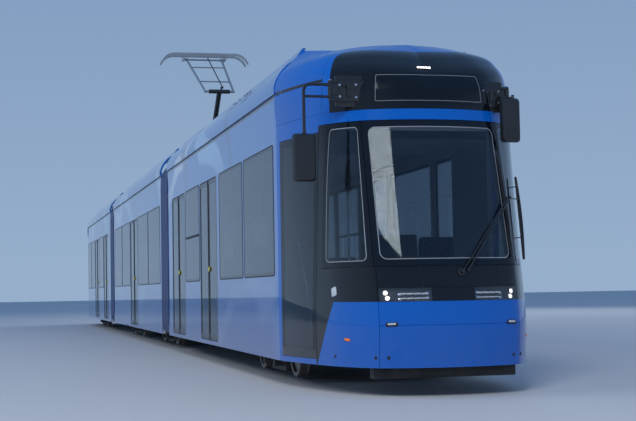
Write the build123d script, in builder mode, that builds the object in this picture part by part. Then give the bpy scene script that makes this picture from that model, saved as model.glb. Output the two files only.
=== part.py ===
from build123d import *
import os

os.makedirs("parts", exist_ok=True)

# A three-car articulated low-floor tram, in millimetres
# x runs forward, y to the tram's left, z up from the lowest point of the wheel flanges
# The doors are on the right side, -y

# Body shell
half_width = 1200
wall = 60
glass = 12
leaf = 45
seat_gap = 0.3
cab_length = 2100
gangway = 950

# Running gear
flange = 22
gauge = 1435
wheel_radius = 300
wheel_width = 110
wheelbase = 1850
axle_radius = 60
journal_radius = 50
running_fit = 0.05
frame_width = 90
frame_y = 885
kingpin_radius = 60
motor_width = 130
motor_height = 170
motor_length = 840

# Heights, given above the rail head, which the flanges reach below
z_skirt = flange + 245
z_sill = flange + 300
z_floor = flange + 350
z_high_floor = flange + 460
z_box_top = flange + 730
z_lamp_low = flange + 848
z_shelf = flange + 985
z_window = flange + 1120
z_screen = flange + 1190
z_screen_top = flange + 2470
z_top = flange + 2495
z_portal = flange + 2350
z_ceiling = flange + 2640
z_hood = flange + 2700
z_side_top = flange + 2990
z_roof = flange + 3010
z_fairing_top = flange + 3500
z_crown = flange + 3395

# Bays
door_width = 1500
window_pane = 1760
short_pane = 1440
pillar = 80

# Each car's side from its front end back: what the right side has there, and its length
# The left side has a window wherever the right side has a window or a door
bays = {
    "front": [
        ("blank", 190), ("window", window_pane), ("blank", 100), ("window", 1690), ("blank", 220),
        ("door", door_width), ("blank", 70), ("window", short_pane), ("blank", pillar),
        ("door", door_width), ("blank", 550),
    ],
    "middle": [
        ("blank", 250), ("window", 1860), ("blank", pillar), ("window", 1860), ("blank", 75),
        ("door", door_width), ("blank", 75), ("window", 1800), ("blank", 100), ("window", 1800),
        ("blank", 350),
    ],
    "rear": [
        ("blank", 800), ("door", door_width), ("blank", pillar), ("window", short_pane),
        ("blank", pillar), ("door", door_width), ("blank", 150), ("window", 1350), ("blank", 100),
        ("window", 1250), ("blank", 200),
    ],
}
car_length = {car: sum(size for kind, size in row) for car, row in bays.items()}
x_tip = (sum(car_length.values()) + 2 * gangway + 2 * cab_length) / 2
x_cab = x_tip - cab_length

# x of each car's front and rear end
span = {
    "front": (x_cab, x_cab - car_length["front"]),
    "rear": (-x_cab + car_length["rear"], -x_cab),
}
span["middle"] = (span["front"][1] - gangway, span["rear"][0] + gangway)
pivot = {"front": span["front"][1] - gangway / 2, "rear": span["rear"][0] + gangway / 2}

# Bogies
front_bogie_setback = 2000
rear_bogie_setback = 1400
middle_bogie_offset = 2850
middle_x = (span["middle"][0] + span["middle"][1]) / 2
# number, car, x of the centre, whether it has motors
bogies = [
    (1, "front", x_cab - front_bogie_setback, True),
    (2, "middle", middle_x + middle_bogie_offset, False),
    (3, "middle", middle_x - middle_bogie_offset, False),
    (4, "rear", -x_cab + rear_bogie_setback, True),
]
hump = wheelbase / 2 + wheel_radius + 175
ramp = 240
floor_thickness = 105
high_floor_thickness = 70
box_shell = 30
box_inner_y = 500

# Gangway floor and drawbar
disc_radius = 600
disc_gap = 8
neck = 450
disc_thickness = 40
drawbar_width = 160
drawbar_low = flange + 190
drawbar_top = flange + 285
drawbar_pin = 50
drawbar_eye = 110
apron_reach = 80
apron_taper = 120
drawbar_inside = 400
portal_half = 750

# Bellows, its outer line from the skirt over the roof: y, height over the rail
bellows_wall = 90
bellows_half = 1175
bellows_line = [(bellows_half, 245), (bellows_half, 2950), (1090, 3150), (900, 3260)]

# Bogie frames
pin_low = flange + 215
transom_low = flange + 200
transom_top = flange + 365
transom_half = 200
beam_low = flange + 290
beam_top = flange + 400
beam_half = wheelbase / 2 + 205
box_half = 130
spring_radius = 78
spring_x = 430
spring_clear = 6
brake_half = wheelbase / 2 - 525
brake_low = flange + 35
brake_top = flange + 130
brake_y = 750
brake_width = 90
hanger_x = 0.75 * brake_half
hanger_length = 80
hanger_rise = 60
journal_end = 925
tread_slope = 4
back_to_back_play = 28
tread_root = 2
tyre = 50
hub_rise = 40

# Doorways and door leaves
bay_corner = 60
pane_corner = bay_corner - seat_gap
leaf_border = 60

# Roof fairing section, its outer line from the cornice to the top of the screen: y, height over the rail
fairing_foot = (1217, 2998)
fairing_belly = (1222, 3069)
fairing_mid = (1161, 3222)
fairing_shoulder = (989, 3378)
fairing_edge = (900, 3500)
fairing_skin = 35
cornice = 15

# Length and height of each box on the roof, and the distance of its front end from the car's front end
unit_half = 820
roof_units = {
    "front": [(120, 2700, 440), (3100, 1500, 330), (4900, 1700, 400), (6900, 1900, 360)],
    "middle": [(4100, 2200, 420), (6600, 1400, 330), (8200, 1300, 380)],
    "rear": [(250, 1900, 360), (2500, 1700, 400), (4600, 1200, 330), (6100, 2200, 440)],
}
unit_corner = 40

# Nose of the front car, also used for the tail
brow_setback = 660
brow_height = 3000
# height over the rail; setback from the tip of the bow's middle, its ends and the corner; their half widths
nose_levels = [
    (245, 30, 180, 660, 720, 945),
    (630, 0, 150, 670, 700, 950),
    (830, 30, 180, 670, 720, 950),
    (1150, 100, 255, 675, 790, 950),
    (brow_height, brow_setback, 800, 640, 1140, 970),
    (3600, 860, 1000, 610, 1290, 945),
]
# Share of an inset that goes along x and along y at the bow's end and at the corner
bow_normal = (0.9, 0.45)
corner_normal = (0.5, 0.87)
corner_bulge = 25
flank_bulge = 28
crown_setback = 1350
brow_bulge = 55
# Roof line of the nose at its crown: shoulder start, middle and end, and the edge of the top
crown_line = [(1217, 2990), (1085, 3150), (900, 3255), (646, 3357)]
crown_height = 3395
rear_crown_height = 3505
guard_half, guard_front, guard_rear = 700, 330, 480
z_guard = flange + 135

# Windows, lamps and door of the nose
screen_low_half = 640
screen_top_half = 630
screen_corner = 60
cab_door_rear = cab_length - 100
cab_door_front = cab_door_rear - 900
# Corner window: setback of the lower front, upper front and rear edge, and its head below the windscreen's
corner_low, corner_top, corner_rear = 350, 700, cab_door_front - 140
corner_head_drop = 70
lamp_inner, lamp_outer = 200, 660
lamp_depth = 45
lamp_height = 120
bulkhead = 760

# Seats
seat_height = 450
cushion_depth = 440
cushion_thickness = 100
seat_back_height = 640
seat_back_thickness = 55
seat_back_lean = 70
box_seat_width = 560
box_seat_offset = hump - 520
pair_seat_width = 560
pair_pitch = 760
seat_wall_gap = 12
pedestal_front, pedestal_rear = 90, 130
cushion_rise = 15
cushion_undercut = 25

# Poles and overhead rails
pole_radius = 17
pole_y = 600
pole_inset = 60
rail_y = 430
rail_drop = 260
rail_end = 200
hanger_shares = (0.02, 0.35, 0.65, 0.98)
hanger_radius = 12

# Driver's place, from the tip of the nose
desk_front, desk_rear = 400, cab_door_front + 150
desk_half = 560
desk_rise = 60
driver_x = cab_door_front + 520
driver_seat = (470, 480, 110)
driver_seat_low = 390
driver_back_half, driver_back_height = 230, 760
driver_column = 90
partition_setback = 110
partition_thickness = 40

# Wiper: y and height over the rail of its spindle, its knee and the blade's ends
wiper_foot = (90, 1105)
wiper_knee = (655, 1790)
blade_low = (640, 1240)
blade_high = (632, 2215)
wiper_stand = 45
blade_stand = 24
wiper_hub, wiper_arm, wiper_blade = 22, 9, 10
arm_spread = 40

# Mirrors: side; setback, half width and height of the folding pin; how far ahead, outward and below it
# the head's top middle lies; depth, width and height of the head
mirror_pin = 12
mirror_sleeve = 24
mirror_tube = 16
mirrors = {
    "right": (-1, 750, 950, 2850, (20, 265, 412), (60, 225, 455)),
    "left": (1, 720, 820, 2810, (120, -13, 24), (60, 200, 430)),
}
mirror_corner = 28
arm_rise = 58
bracket_height = 200
bracket_depth, bracket_width = 30, 360
lug_thickness = 22

# Pantograph on the middle car, raised, its knee pointing forward: x, height over the rail
panto_pivot = (middle_x + 2825, 3600)
panto_knee = (middle_x + 4025, 4650)
panto_head = (middle_x + 2225, 5540)
pivot_half = 250
knee_half = 264
head_half = 348
pivot_pin = 25
knee_pin = 22
head_pin = 16
lower_tube = 45
upper_tube = 22
insulator_height = 330
insulator_x, insulator_y = 520, 380
base_tube = 60
strip_half = 600
strip_apart = 280
strip_height = 40
horn_half = 867
horn_drop = 170
rod_radius = 11
rod_rise = 75
rod_pin = 8
rod_y = 62
lug_y = 34


def finish(piece, name):
    piece.label = name
    export_step(piece, f"parts/{name}.step")


# Plane for a side panel: an extrusion by its depth towards -y puts its outer face on the side
def side_plane(side, depth):
    y = half_width if side > 0 else depth - half_width
    return Plane.XZ.offset(-y)


# Bays of one side: kind, x of the centre, length
def side_bays(car, side):
    x = span[car][0]
    found = []
    for kind, size in bays[car]:
        if kind != "blank":
            found.append((kind if side < 0 else "window", x - size / 2, size))
        x -= size
    return found


def bay_heights(kind):
    return (z_sill, z_top) if kind == "door" else (z_window, z_top)


# Side walls with their windows and doorways, and the end frames round the gangway
def car_walls(car):
    ends = {"front": [1], "middle": [0, 1], "rear": [0]}[car]
    front, back = span[car]
    with BuildPart() as walls:
        for side in (-1, 1):
            with BuildSketch(side_plane(side, wall)):
                with Locations(((front + back) / 2, (z_skirt + z_side_top) / 2)):
                    Rectangle(front - back, z_side_top - z_skirt)
                for kind, x, size in side_bays(car, side):
                    low, high = bay_heights(kind)
                    with Locations((x, (low + high) / 2)):
                        RectangleRounded(size, high - low, bay_corner, mode=Mode.SUBTRACT)
            extrude(amount=wall)
        for end in ends:
            at = span[car][end]
            half = half_width - wall - seat_gap
            with BuildSketch(Plane.YZ.offset(at if end else at - wall)):
                with Locations((0, (z_floor + z_ceiling) / 2)):
                    Rectangle(2 * half, z_ceiling - z_floor - 2 * seat_gap)
                with Locations((0, (z_floor + z_portal) / 2)):
                    Rectangle(2 * portal_half, z_portal - z_floor + 4, mode=Mode.SUBTRACT)
            extrude(amount=wall)
    finish(walls.part, f"{car}_walls")


# Door leaves in pairs, with their window openings
def car_doors(car, extra=None):
    leaf_size = door_width / 2 - 1.5 * seat_gap
    low, high = bay_heights("door")
    with BuildPart() as doors:
        with BuildSketch(side_plane(-1, leaf)):
            for kind, x, size in side_bays(car, -1):
                if kind != "door":
                    continue
                for way in (-1, 1):
                    leaf_x = x + way * (leaf_size + seat_gap) / 2
                    with Locations((leaf_x, (low + high) / 2)):
                        RectangleRounded(leaf_size, high - low - 2 * seat_gap, pane_corner)
                    with Locations((leaf_x, (low + high) / 2)):
                        RectangleRounded(
                            leaf_size - 2 * leaf_border,
                            high - low - 2 * leaf_border,
                            bay_corner,
                            mode=Mode.SUBTRACT,
                        )
        extrude(amount=leaf)
        if extra:
            add(extra)
    finish(doors.part, f"{car}_doors")


# Panes of the side windows and of the door leaves, flush with the outside
def car_glazing(car, extra=None):
    leaf_size = door_width / 2 - 1.5 * seat_gap
    with BuildPart() as panes:
        for side in (-1, 1):
            with BuildSketch(side_plane(side, glass)):
                for kind, x, size in side_bays(car, side):
                    low, high = bay_heights(kind)
                    if kind == "window":
                        with Locations((x, (low + high) / 2)):
                            RectangleRounded(size - 2 * seat_gap, high - low - 2 * seat_gap, pane_corner)
                        continue
                    for way in (-1, 1):
                        leaf_x = x + way * (leaf_size + seat_gap) / 2
                        with Locations((leaf_x, (low + high) / 2)):
                            RectangleRounded(
                                leaf_size - 2 * leaf_border - 2 * seat_gap,
                                high - low - 2 * leaf_border - 2 * seat_gap,
                                pane_corner,
                            )
            extrude(amount=glass)
        if extra:
            add(extra)
    finish(panes.part, f"{car}_glazing")


def fairing_point(point, inset=0):
    return (point[0] - inset, flange + point[1])


# Roof slab, whose edge is the dark cornice groove, and the curved fairing along each side
def car_roof(car):
    front, back = span[car]
    inner = half_width - wall
    with BuildPart() as roof:
        with BuildSketch(Plane.YZ.offset(back)):
            with BuildLine():
                Polyline(
                    (-inner, z_ceiling),
                    (inner, z_ceiling),
                    (inner, z_side_top),
                    (half_width - cornice, z_side_top),
                    (half_width - cornice, z_roof),
                    (cornice - half_width, z_roof),
                    (cornice - half_width, z_side_top),
                    (-inner, z_side_top),
                    close=True,
                )
            make_face()
        extrude(amount=front - back)
        with BuildSketch(Plane.YZ.offset(back)) as fairing:
            with BuildLine():
                foot = (fairing_foot[0], z_roof + seat_gap)
                belly = fairing_point(fairing_belly)
                mid = fairing_point(fairing_mid)
                shoulder = fairing_point(fairing_shoulder)
                edge = fairing_point(fairing_edge)
                Line(foot, belly)
                ThreePointArc(belly, mid, shoulder)
                Line(shoulder, edge)
                inner_edge = (edge[0] - fairing_skin, edge[1])
                inner_shoulder = (shoulder[0] - fairing_skin, shoulder[1] - fairing_skin)
                inner_belly = (belly[0] - fairing_skin, belly[1])
                inner_mid = (mid[0] - fairing_skin * 0.7, mid[1] - fairing_skin * 0.7)
                Line(edge, inner_edge)
                Line(inner_edge, inner_shoulder)
                ThreePointArc(inner_shoulder, inner_mid, inner_belly)
                Polyline(inner_belly, (foot[0] - fairing_skin, foot[1]), foot)
            make_face()
            mirror(about=Plane.YZ)
        extrude(amount=front - back)
    finish(roof.part, f"{car}_roof")


def car_roof_units(car):
    with BuildPart() as units:
        for setback, size, height in roof_units[car]:
            x = span[car][0] - setback - size / 2
            with BuildSketch(Plane.YZ.offset(x - size / 2)):
                with Locations((0, z_roof + height / 2)):
                    Rectangle(2 * unit_half, height)
            extrude(amount=size)
        fillet(units.edges().filter_by(Axis.X).group_by(Axis.Z)[-1], unit_corner)
    finish(units.part, f"{car}_roof_units")


# Height of the floor under something that reaches from one x to another
def floor_top(car, low_x, high_x):
    height = z_floor
    for number, on, x, powered in bogies:
        if on == car:
            away = max(low_x - x, x - high_x, 0)
            share = min(max((hump + ramp - away) / ramp, 0), 1)
            height = max(height, z_floor + share * (z_high_floor - z_floor))
    return height


# Floor: a low plate with a hump over each bogie, wheel boxes, king pins, and the gangway's disc or drawbar
def car_floor(car):
    front, back = span[car]
    inner = half_width - wall
    humps = sorted((x for number, on, x, powered in bogies if on == car), reverse=True)
    top = [(front, z_floor)]
    low = [(front, z_floor - floor_thickness)]
    for x in humps:
        near, far = min(front, x + hump), max(back, x - hump)
        if x + hump + ramp < front:
            top += [(near + ramp, z_floor)]
            low += [(near + ramp, z_floor - floor_thickness)]
        else:
            top, low = [(front, z_high_floor)], [(front, z_high_floor - high_floor_thickness)]
        top += [(near, z_high_floor), (far, z_high_floor)]
        low += [(near, z_high_floor - high_floor_thickness), (far, z_high_floor - high_floor_thickness)]
        if x - hump - ramp > back:
            top += [(far - ramp, z_floor)]
            low += [(far - ramp, z_floor - floor_thickness)]
    if top[-1][0] > back:
        top.append((back, z_floor))
        low.append((back, z_floor - floor_thickness))
    with BuildPart() as floor:
        with BuildSketch(Plane.XZ):
            with BuildLine():
                Polyline(*top, *reversed(low), close=True)
            make_face()
        extrude(amount=inner, both=True)
        for x in humps:
            # Bays for the wheels on both sides of the aisle
            with Locations((x, box_inner_y + inner, 0), (x, -box_inner_y - inner, 0)):
                Box(2 * hump, 2 * inner, 4 * z_box_top, mode=Mode.SUBTRACT)
            # King pin
            with BuildSketch(Plane.XY.offset(pin_low)):
                with Locations((x, 0)):
                    Circle(kingpin_radius)
            extrude(amount=z_high_floor - high_floor_thickness - pin_low)
        if car == "middle":
            for end in ("front", "rear"):
                way = 1 if end == "front" else -1
                edge = span["middle"][0 if end == "front" else 1]
                with BuildSketch(Plane.XY.offset(z_floor - disc_thickness)):
                    with Locations((pivot[end], 0)):
                        Circle(disc_radius)
                    with BuildLine():
                        Polyline(
                            (pivot[end], neck), (edge - way, neck), (edge - way, -neck), (pivot[end], -neck),
                            close=True,
                        )
                    make_face()
                extrude(amount=disc_thickness)
                with Locations((pivot[end], 0, (drawbar_low + z_floor - disc_thickness) / 2)):
                    Cylinder(drawbar_pin, z_floor - disc_thickness - drawbar_low)
        else:
            way = 1 if car == "front" else -1
            at = pivot[car]
            edge = back if car == "front" else front
            apron = bellows_half - bellows_wall - disc_gap
            with BuildSketch(Plane.XY.offset(z_floor - disc_thickness)):
                with BuildLine():
                    Polyline(
                        (edge, apron), (at + way * apron_reach, apron - apron_taper),
                        (at + way * apron_reach, apron_taper - apron), (edge, -apron), close=True,
                    )
                make_face()
            extrude(amount=disc_thickness)
            with BuildSketch(Plane.XY.offset(z_floor - disc_thickness - disc_gap)):
                with Locations((at, 0)):
                    Circle(disc_radius + disc_gap)
            extrude(amount=disc_thickness + 2 * disc_gap, mode=Mode.SUBTRACT)
            with BuildSketch(Plane.XY.offset(drawbar_low)):
                far = edge + way * drawbar_inside
                with Locations(((at + far) / 2, 0)):
                    Rectangle(abs(far - at), drawbar_width)
                with Locations((at, 0)):
                    Circle(drawbar_eye)
                    Circle(drawbar_pin + running_fit, mode=Mode.SUBTRACT)
            extrude(amount=drawbar_top - drawbar_low)
        # Wheel boxes, open below and outside
        for x in humps:
            for side in (-1, 1):
                y = side * (box_inner_y + seat_gap + inner) / 2
                width = inner - box_inner_y - seat_gap
                low_z = z_high_floor - high_floor_thickness
                with Locations((x, y, (low_z + z_box_top) / 2)):
                    Box(2 * (hump - seat_gap), width, z_box_top - low_z)
                with Locations((x, y + side * box_shell, (low_z + z_box_top) / 2 - box_shell)):
                    Box(2 * (hump - box_shell), width, z_box_top - low_z, mode=Mode.SUBTRACT)
    finish(floor.part, f"{car}_floor")


# Bogie frame: two side beams with axleboxes, a transom with the king pin hub, springs, brakes and motors
def bogie_frame(number, x, powered):
    with BuildPart() as frame:
        for side in (-1, 1):
            with BuildSketch(Plane.XZ.offset(-side * frame_y - frame_width / 2)):
                with Locations((x, (beam_low + beam_top) / 2)):
                    Rectangle(2 * beam_half, beam_top - beam_low)
                axle_z = flange + wheel_radius
                with Locations((x - wheelbase / 2, axle_z), (x + wheelbase / 2, axle_z)):
                    Rectangle(2 * box_half, 2 * box_half)
                    Circle(journal_radius + running_fit, mode=Mode.SUBTRACT)
            extrude(amount=frame_width)
            for way in (-1, 1):
                at = (x + way * spring_x, side * frame_y, beam_top)
                with Locations(at):
                    spring_top = z_box_top - box_shell - spring_clear
                    Cylinder(
                        spring_radius, spring_top - beam_top,
                        align=(Align.CENTER, Align.CENTER, Align.MIN),
                    )
                # Track brake hangers
                foot = brake_low + hanger_rise
                with Locations((x + way * hanger_x, side * (brake_y + frame_y) / 2, foot)):
                    Box(
                        hanger_length, frame_y - brake_y + hanger_rise, beam_top - foot,
                        align=(Align.CENTER, Align.CENTER, Align.MIN),
                    )
            with Locations((x, side * brake_y, (brake_low + brake_top) / 2)):
                Box(2 * brake_half, brake_width, brake_top - brake_low)
            if powered:
                y = side * (frame_y + frame_width / 2 + motor_width / 2)
                with Locations((x, y, beam_top - motor_height / 2)):
                    Box(motor_length, motor_width, motor_height)
        with BuildSketch(Plane.XY.offset(transom_low)):
            with Locations((x, 0)):
                Rectangle(2 * transom_half, 2 * frame_y)
                Circle(kingpin_radius + running_fit, mode=Mode.SUBTRACT)
        extrude(amount=transom_top - transom_low)
    finish(frame.part, f"bogie{number}_frame")


# Wheelset: an axle with both wheels, turned about its centre line
def wheelset(number, x):
    inner = gauge / 2 - back_to_back_play
    outer = inner + wheel_width
    root = gauge / 2 + tread_root
    rim = wheel_radius - tyre
    hub = axle_radius + hub_rise
    with BuildPart() as turned:
        with BuildSketch(Plane.XY):
            with BuildLine():
                Polyline(
                    (0, 0), (axle_radius, 0), (axle_radius, inner - 20), (hub + 5, inner),
                    (rim - 10, inner + 30), (rim + 5, inner),
                    (wheel_radius + flange - 8, inner), (wheel_radius + flange, inner + 10),
                    (wheel_radius + 4, root), (wheel_radius - tread_slope, outer),
                    (rim, outer), (rim - 10, outer - 30),
                    (hub, outer - 20), (hub - 5, outer), (journal_radius, outer),
                    (journal_radius, journal_end), (0, journal_end), close=True,
                )
            make_face()
            mirror(about=Plane.XZ)
        revolve(axis=Axis.Y)
    placed = Pos(x, 0, flange + wheel_radius) * turned.part
    finish(placed, f"wheelset{number}")


# Bellows round the gangway, open below
def bellows(end):
    front, back = pivot[end] + gangway / 2 - seat_gap, pivot[end] - gangway / 2 + seat_gap
    with BuildPart() as folds:
        with BuildSketch(Plane.YZ.offset(back)):
            with BuildLine():
                t = bellows_wall
                outer_line = [(y, flange + z) for y, z in bellows_line]
                inner_line = [(y - t, z - (t if z > z_hood else 0)) for y, z in outer_line]
                half = outer_line + [(-y, z) for y, z in reversed(outer_line)]
                hollow = inner_line + [(-y, z) for y, z in reversed(inner_line)]
                Polyline(*half, *reversed(hollow), close=True)
            make_face()
        extrude(amount=front - back)
    finish(folds.part, f"{end}_bellows")


# Volume inside the nose's vertical faces, moved in by an even depth
def nose_block(inset):
    with BuildPart() as block:
        for height, tip, bow, bow_half, corner, corner_half in nose_levels:
            a = (x_tip - tip - inset, 0)
            b = (x_tip - bow - inset * bow_normal[0], bow_half - inset * bow_normal[1])
            c = (x_tip - corner - inset * corner_normal[0], corner_half - inset * corner_normal[1])
            d = (x_cab, half_width - inset)
            b2, c2, d2 = (b[0], -b[1]), (c[0], -c[1]), (d[0], -d[1])
            with BuildSketch(Plane.XY.offset(flange + height)):
                with BuildLine():
                    ThreePointArc(b2, a, b)
                    SagittaArc(b, c, -corner_bulge)
                    SagittaArc(c, d, -flank_bulge)
                    Line(d, d2)
                    SagittaArc(d2, c2, -flank_bulge)
                    SagittaArc(c2, b2, -corner_bulge)
                make_face()
        loft(ruled=True)
    return block.part


# Volume under the roof line of the nose: section at each setback, rear, crown and front
def nose_top():
    wide = half_width + 100
    # setback, shoulder start, middle and end, edge of the top, and the height of its middle
    sections = [
        (cab_length, fairing_foot, fairing_mid, fairing_shoulder, fairing_edge, rear_crown_height),
        (crown_setback, *crown_line, crown_height),
        (0, *crown_line, crown_height),
    ]
    with BuildPart() as top:
        for setback, foot, mid, shoulder, edge, middle in sections:
            with BuildSketch(Plane.YZ.offset(x_tip - setback)):
                with BuildLine():
                    p = [(y, flange + z) for y, z in (foot, mid, shoulder, edge)]
                    q = [(-y, z) for y, z in p]
                    Line((-wide, 0), (wide, 0))
                    Line((wide, 0), (wide, p[0][1]))
                    Line((wide, p[0][1]), p[0])
                    ThreePointArc(p[0], p[1], p[2])
                    Line(p[2], p[3])
                    ThreePointArc(p[3], (0, flange + middle), q[3])
                    Line(q[3], q[2])
                    ThreePointArc(q[2], q[1], q[0])
                    Line(q[0], (-wide, p[0][1]))
                    Line((-wide, p[0][1]), (-wide, 0))
                make_face()
        loft(ruled=True)
        with BuildSketch(Plane.XZ):
            with BuildLine():
                brow = (x_tip - brow_setback, flange + brow_height)
                crown = (x_tip - crown_setback, z_crown)
                Line((x_cab, 0), (x_tip, 0))
                Line((x_tip, 0), (x_tip, brow[1]))
                Line((x_tip, brow[1]), brow)
                SagittaArc(brow, crown, -brow_bulge)
                Line(crown, (x_cab, z_fairing_top + 10))
                Line((x_cab, z_fairing_top + 10), (x_cab, 0))
            make_face()
        extrude(amount=wide, both=True, mode=Mode.INTERSECT)
    return top.part


# Prism along x through the windscreen opening, smaller by the given gap
def screen_prism(gap):
    with BuildPart() as prism:
        with BuildSketch(Plane.YZ.offset(x_tip - 1100)):
            with BuildLine():
                Polyline(
                    (-screen_low_half + gap, z_screen + gap), (screen_low_half - gap, z_screen + gap),
                    (screen_top_half - gap, z_screen_top - gap), (gap - screen_top_half, z_screen_top - gap),
                    close=True,
                )
            make_face()
            fillet(vertices(), screen_corner)
        extrude(amount=1200)
    return prism.part


# Prisms along y through the corner window of one side
def corner_prism(side, gap):
    with BuildPart() as prism:
        with BuildSketch(Plane.XZ):
            with BuildLine():
                Polyline(
                    (x_tip - corner_low - gap, z_screen + gap), (x_tip - corner_rear + gap, z_screen + gap),
                    (x_tip - corner_rear + gap, z_screen_top - corner_head_drop - gap),
                    (x_tip - corner_top - gap, z_screen_top - corner_head_drop - gap), close=True,
                )
            make_face()
            fillet(vertices(), screen_corner)
        extrude(amount=-side * 2 * half_width)
    return prism.part


# Box through one side of the nose between two setbacks and two heights
def flank_box(side, front, rear, low, high, gap):
    size = rear - front - 2 * gap
    with BuildPart() as box:
        with BuildSketch(Plane.XZ):
            with Locations((x_tip - (front + rear) / 2, (low + high) / 2)):
                RectangleRounded(size, high - low - 2 * gap, bay_corner - gap)
        extrude(amount=-side * 2 * half_width)
    return box.part


# Prism along x through one lamp cluster
def lamp_prism(side, gap):
    with BuildPart() as prism:
        with BuildSketch(Plane.YZ.offset(x_tip - 900)):
            with Locations((side * (lamp_inner + lamp_outer) / 2, z_lamp_low + lamp_height / 2)):
                RectangleRounded(lamp_outer - lamp_inner - 2 * gap, lamp_height - 2 * gap, lamp_height / 4)
        extrude(amount=1000)
    return prism.part


# Layer of the nose between two heights
def layer(low, high):
    with BuildPart() as slab:
        with BuildSketch(Plane.XY.offset(low)):
            with Locations((x_tip - cab_length / 2, 0)):
                Rectangle(cab_length + 400, 3 * half_width)
        extrude(amount=high - low)
    return slab.part


outer = nose_block(0) & nose_top()
skin_inner = nose_block(wall)
leaf_inner = nose_block(leaf)
glass_inner = nose_block(glass)
lamp_inner_block = nose_block(lamp_depth)
door_box = flank_box(-1, cab_door_front, cab_door_rear, z_sill, z_top, 0)
side_window = flank_box(1, cab_door_front, cab_door_rear, z_window, z_top, 0)
corners = corner_prism(-1, 0) + corner_prism(1, 0)
lamps = lamp_prism(-1, 0) + lamp_prism(1, 0)


def room(floor_height):
    with BuildPart() as space:
        add(skin_inner)
        add(layer(floor_height, z_hood + 10), mode=Mode.INTERSECT)
    return space.part


# Base, mask ring and hood of the nose; the tail is the same shape, with a window in place of the door
def nose_pieces(names, floor_height, has_door, turn):
    base_name, mask_name, hood_name, screen_name, lamps_name = names
    cabin = room(floor_height)
    with BuildPart() as base:
        add(outer)
        add(layer(0, z_shelf), mode=Mode.INTERSECT)
        with BuildPart(mode=Mode.PRIVATE) as foot:
            add(cabin)
            with Locations((x_tip - bulkhead + 1000, 0, z_shelf)):
                Box(2000, 3 * half_width, 3 * z_shelf, mode=Mode.SUBTRACT)
        add(foot.part, mode=Mode.SUBTRACT)
        add(lamps - lamp_inner_block, mode=Mode.SUBTRACT)
        if has_door:
            add(door_box, mode=Mode.SUBTRACT)
        # Guard beam below the bumper
        with BuildSketch(Plane.XY.offset(z_guard)):
            with Locations((x_tip - (guard_front + guard_rear) / 2, 0)):
                Rectangle(guard_rear - guard_front, 2 * guard_half)
        extrude(amount=z_skirt - z_guard)
    with BuildPart() as mask:
        add(outer)
        add(layer(z_shelf + seat_gap, z_hood), mode=Mode.INTERSECT)
        add(skin_inner, mode=Mode.SUBTRACT)
        add(screen_prism(0), mode=Mode.SUBTRACT)
        add(corners, mode=Mode.SUBTRACT)
        add(side_window, mode=Mode.SUBTRACT)
        add(door_box if has_door else mirror(side_window, about=Plane.XZ), mode=Mode.SUBTRACT)
    with BuildPart() as hood:
        add(outer)
        add(layer(z_hood + seat_gap, z_fairing_top + 200), mode=Mode.INTERSECT)
        if has_door:
            add(brackets)
    with BuildPart() as screen:
        add(outer)
        add(glass_inner, mode=Mode.SUBTRACT)
        add(screen_prism(seat_gap), mode=Mode.INTERSECT)
    with BuildPart() as lights:
        add(outer)
        add(lamp_inner_block, mode=Mode.SUBTRACT)
        add(lamp_prism(-1, seat_gap) + lamp_prism(1, seat_gap), mode=Mode.INTERSECT)
    for piece, name in (
        (base, base_name), (mask, mask_name), (hood, hood_name), (screen, screen_name), (lights, lamps_name),
    ):
        finish(mirror(piece.part, about=Plane.YZ) if turn else piece.part, name)


# Panes in the nose's corner windows and flanks
def nose_panes(has_door):
    ring = outer - glass_inner
    parts = [ring & corner_prism(-1, seat_gap), ring & corner_prism(1, seat_gap)]
    parts.append(ring & flank_box(1, cab_door_front, cab_door_rear, z_window, z_top, seat_gap))
    if has_door:
        parts.append(ring & cab_door_pane(seat_gap))
    else:
        parts.append(ring & flank_box(-1, cab_door_front, cab_door_rear, z_window, z_top, seat_gap))
    return parts


def cab_door_pane(gap):
    return flank_box(
        -1, cab_door_front + leaf_border, cab_door_rear - leaf_border,
        z_sill + leaf_border, z_top - leaf_border, gap,
    )


cab_leaf = (outer - leaf_inner) & flank_box(-1, cab_door_front, cab_door_rear, z_sill, z_top, seat_gap)
cab_leaf = cab_leaf - cab_door_pane(0)


# Round bar between two points, added to the part in progress
def bar(start, end, radius, mode=Mode.ADD):
    start, end = Vector(*start), Vector(*end)
    with BuildSketch(Plane(origin=start, z_dir=end - start)) as ring:
        Circle(radius)
    extrude(ring.sketch, amount=(end - start).length, mode=mode)


# Seats of one car: x, side, the way they face, and the height they stand on
def seat_places(car):
    places = []
    for number, on, x, powered in bogies:
        if on == car:
            for side in (-1, 1):
                for way in (-1, 1):
                    places.append((x + way * box_seat_offset, side, -way, z_box_top, z_high_floor))
    # Facing pairs at the window between the doors
    for kind, x, size in side_bays(car, -1):
        if kind == "window" and size == short_pane:
            for side in (-1, 1):
                for way in (-1, 1):
                    places.append((x + way * pair_pitch / 2, side, -way, z_floor, z_floor))
    return places


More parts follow.
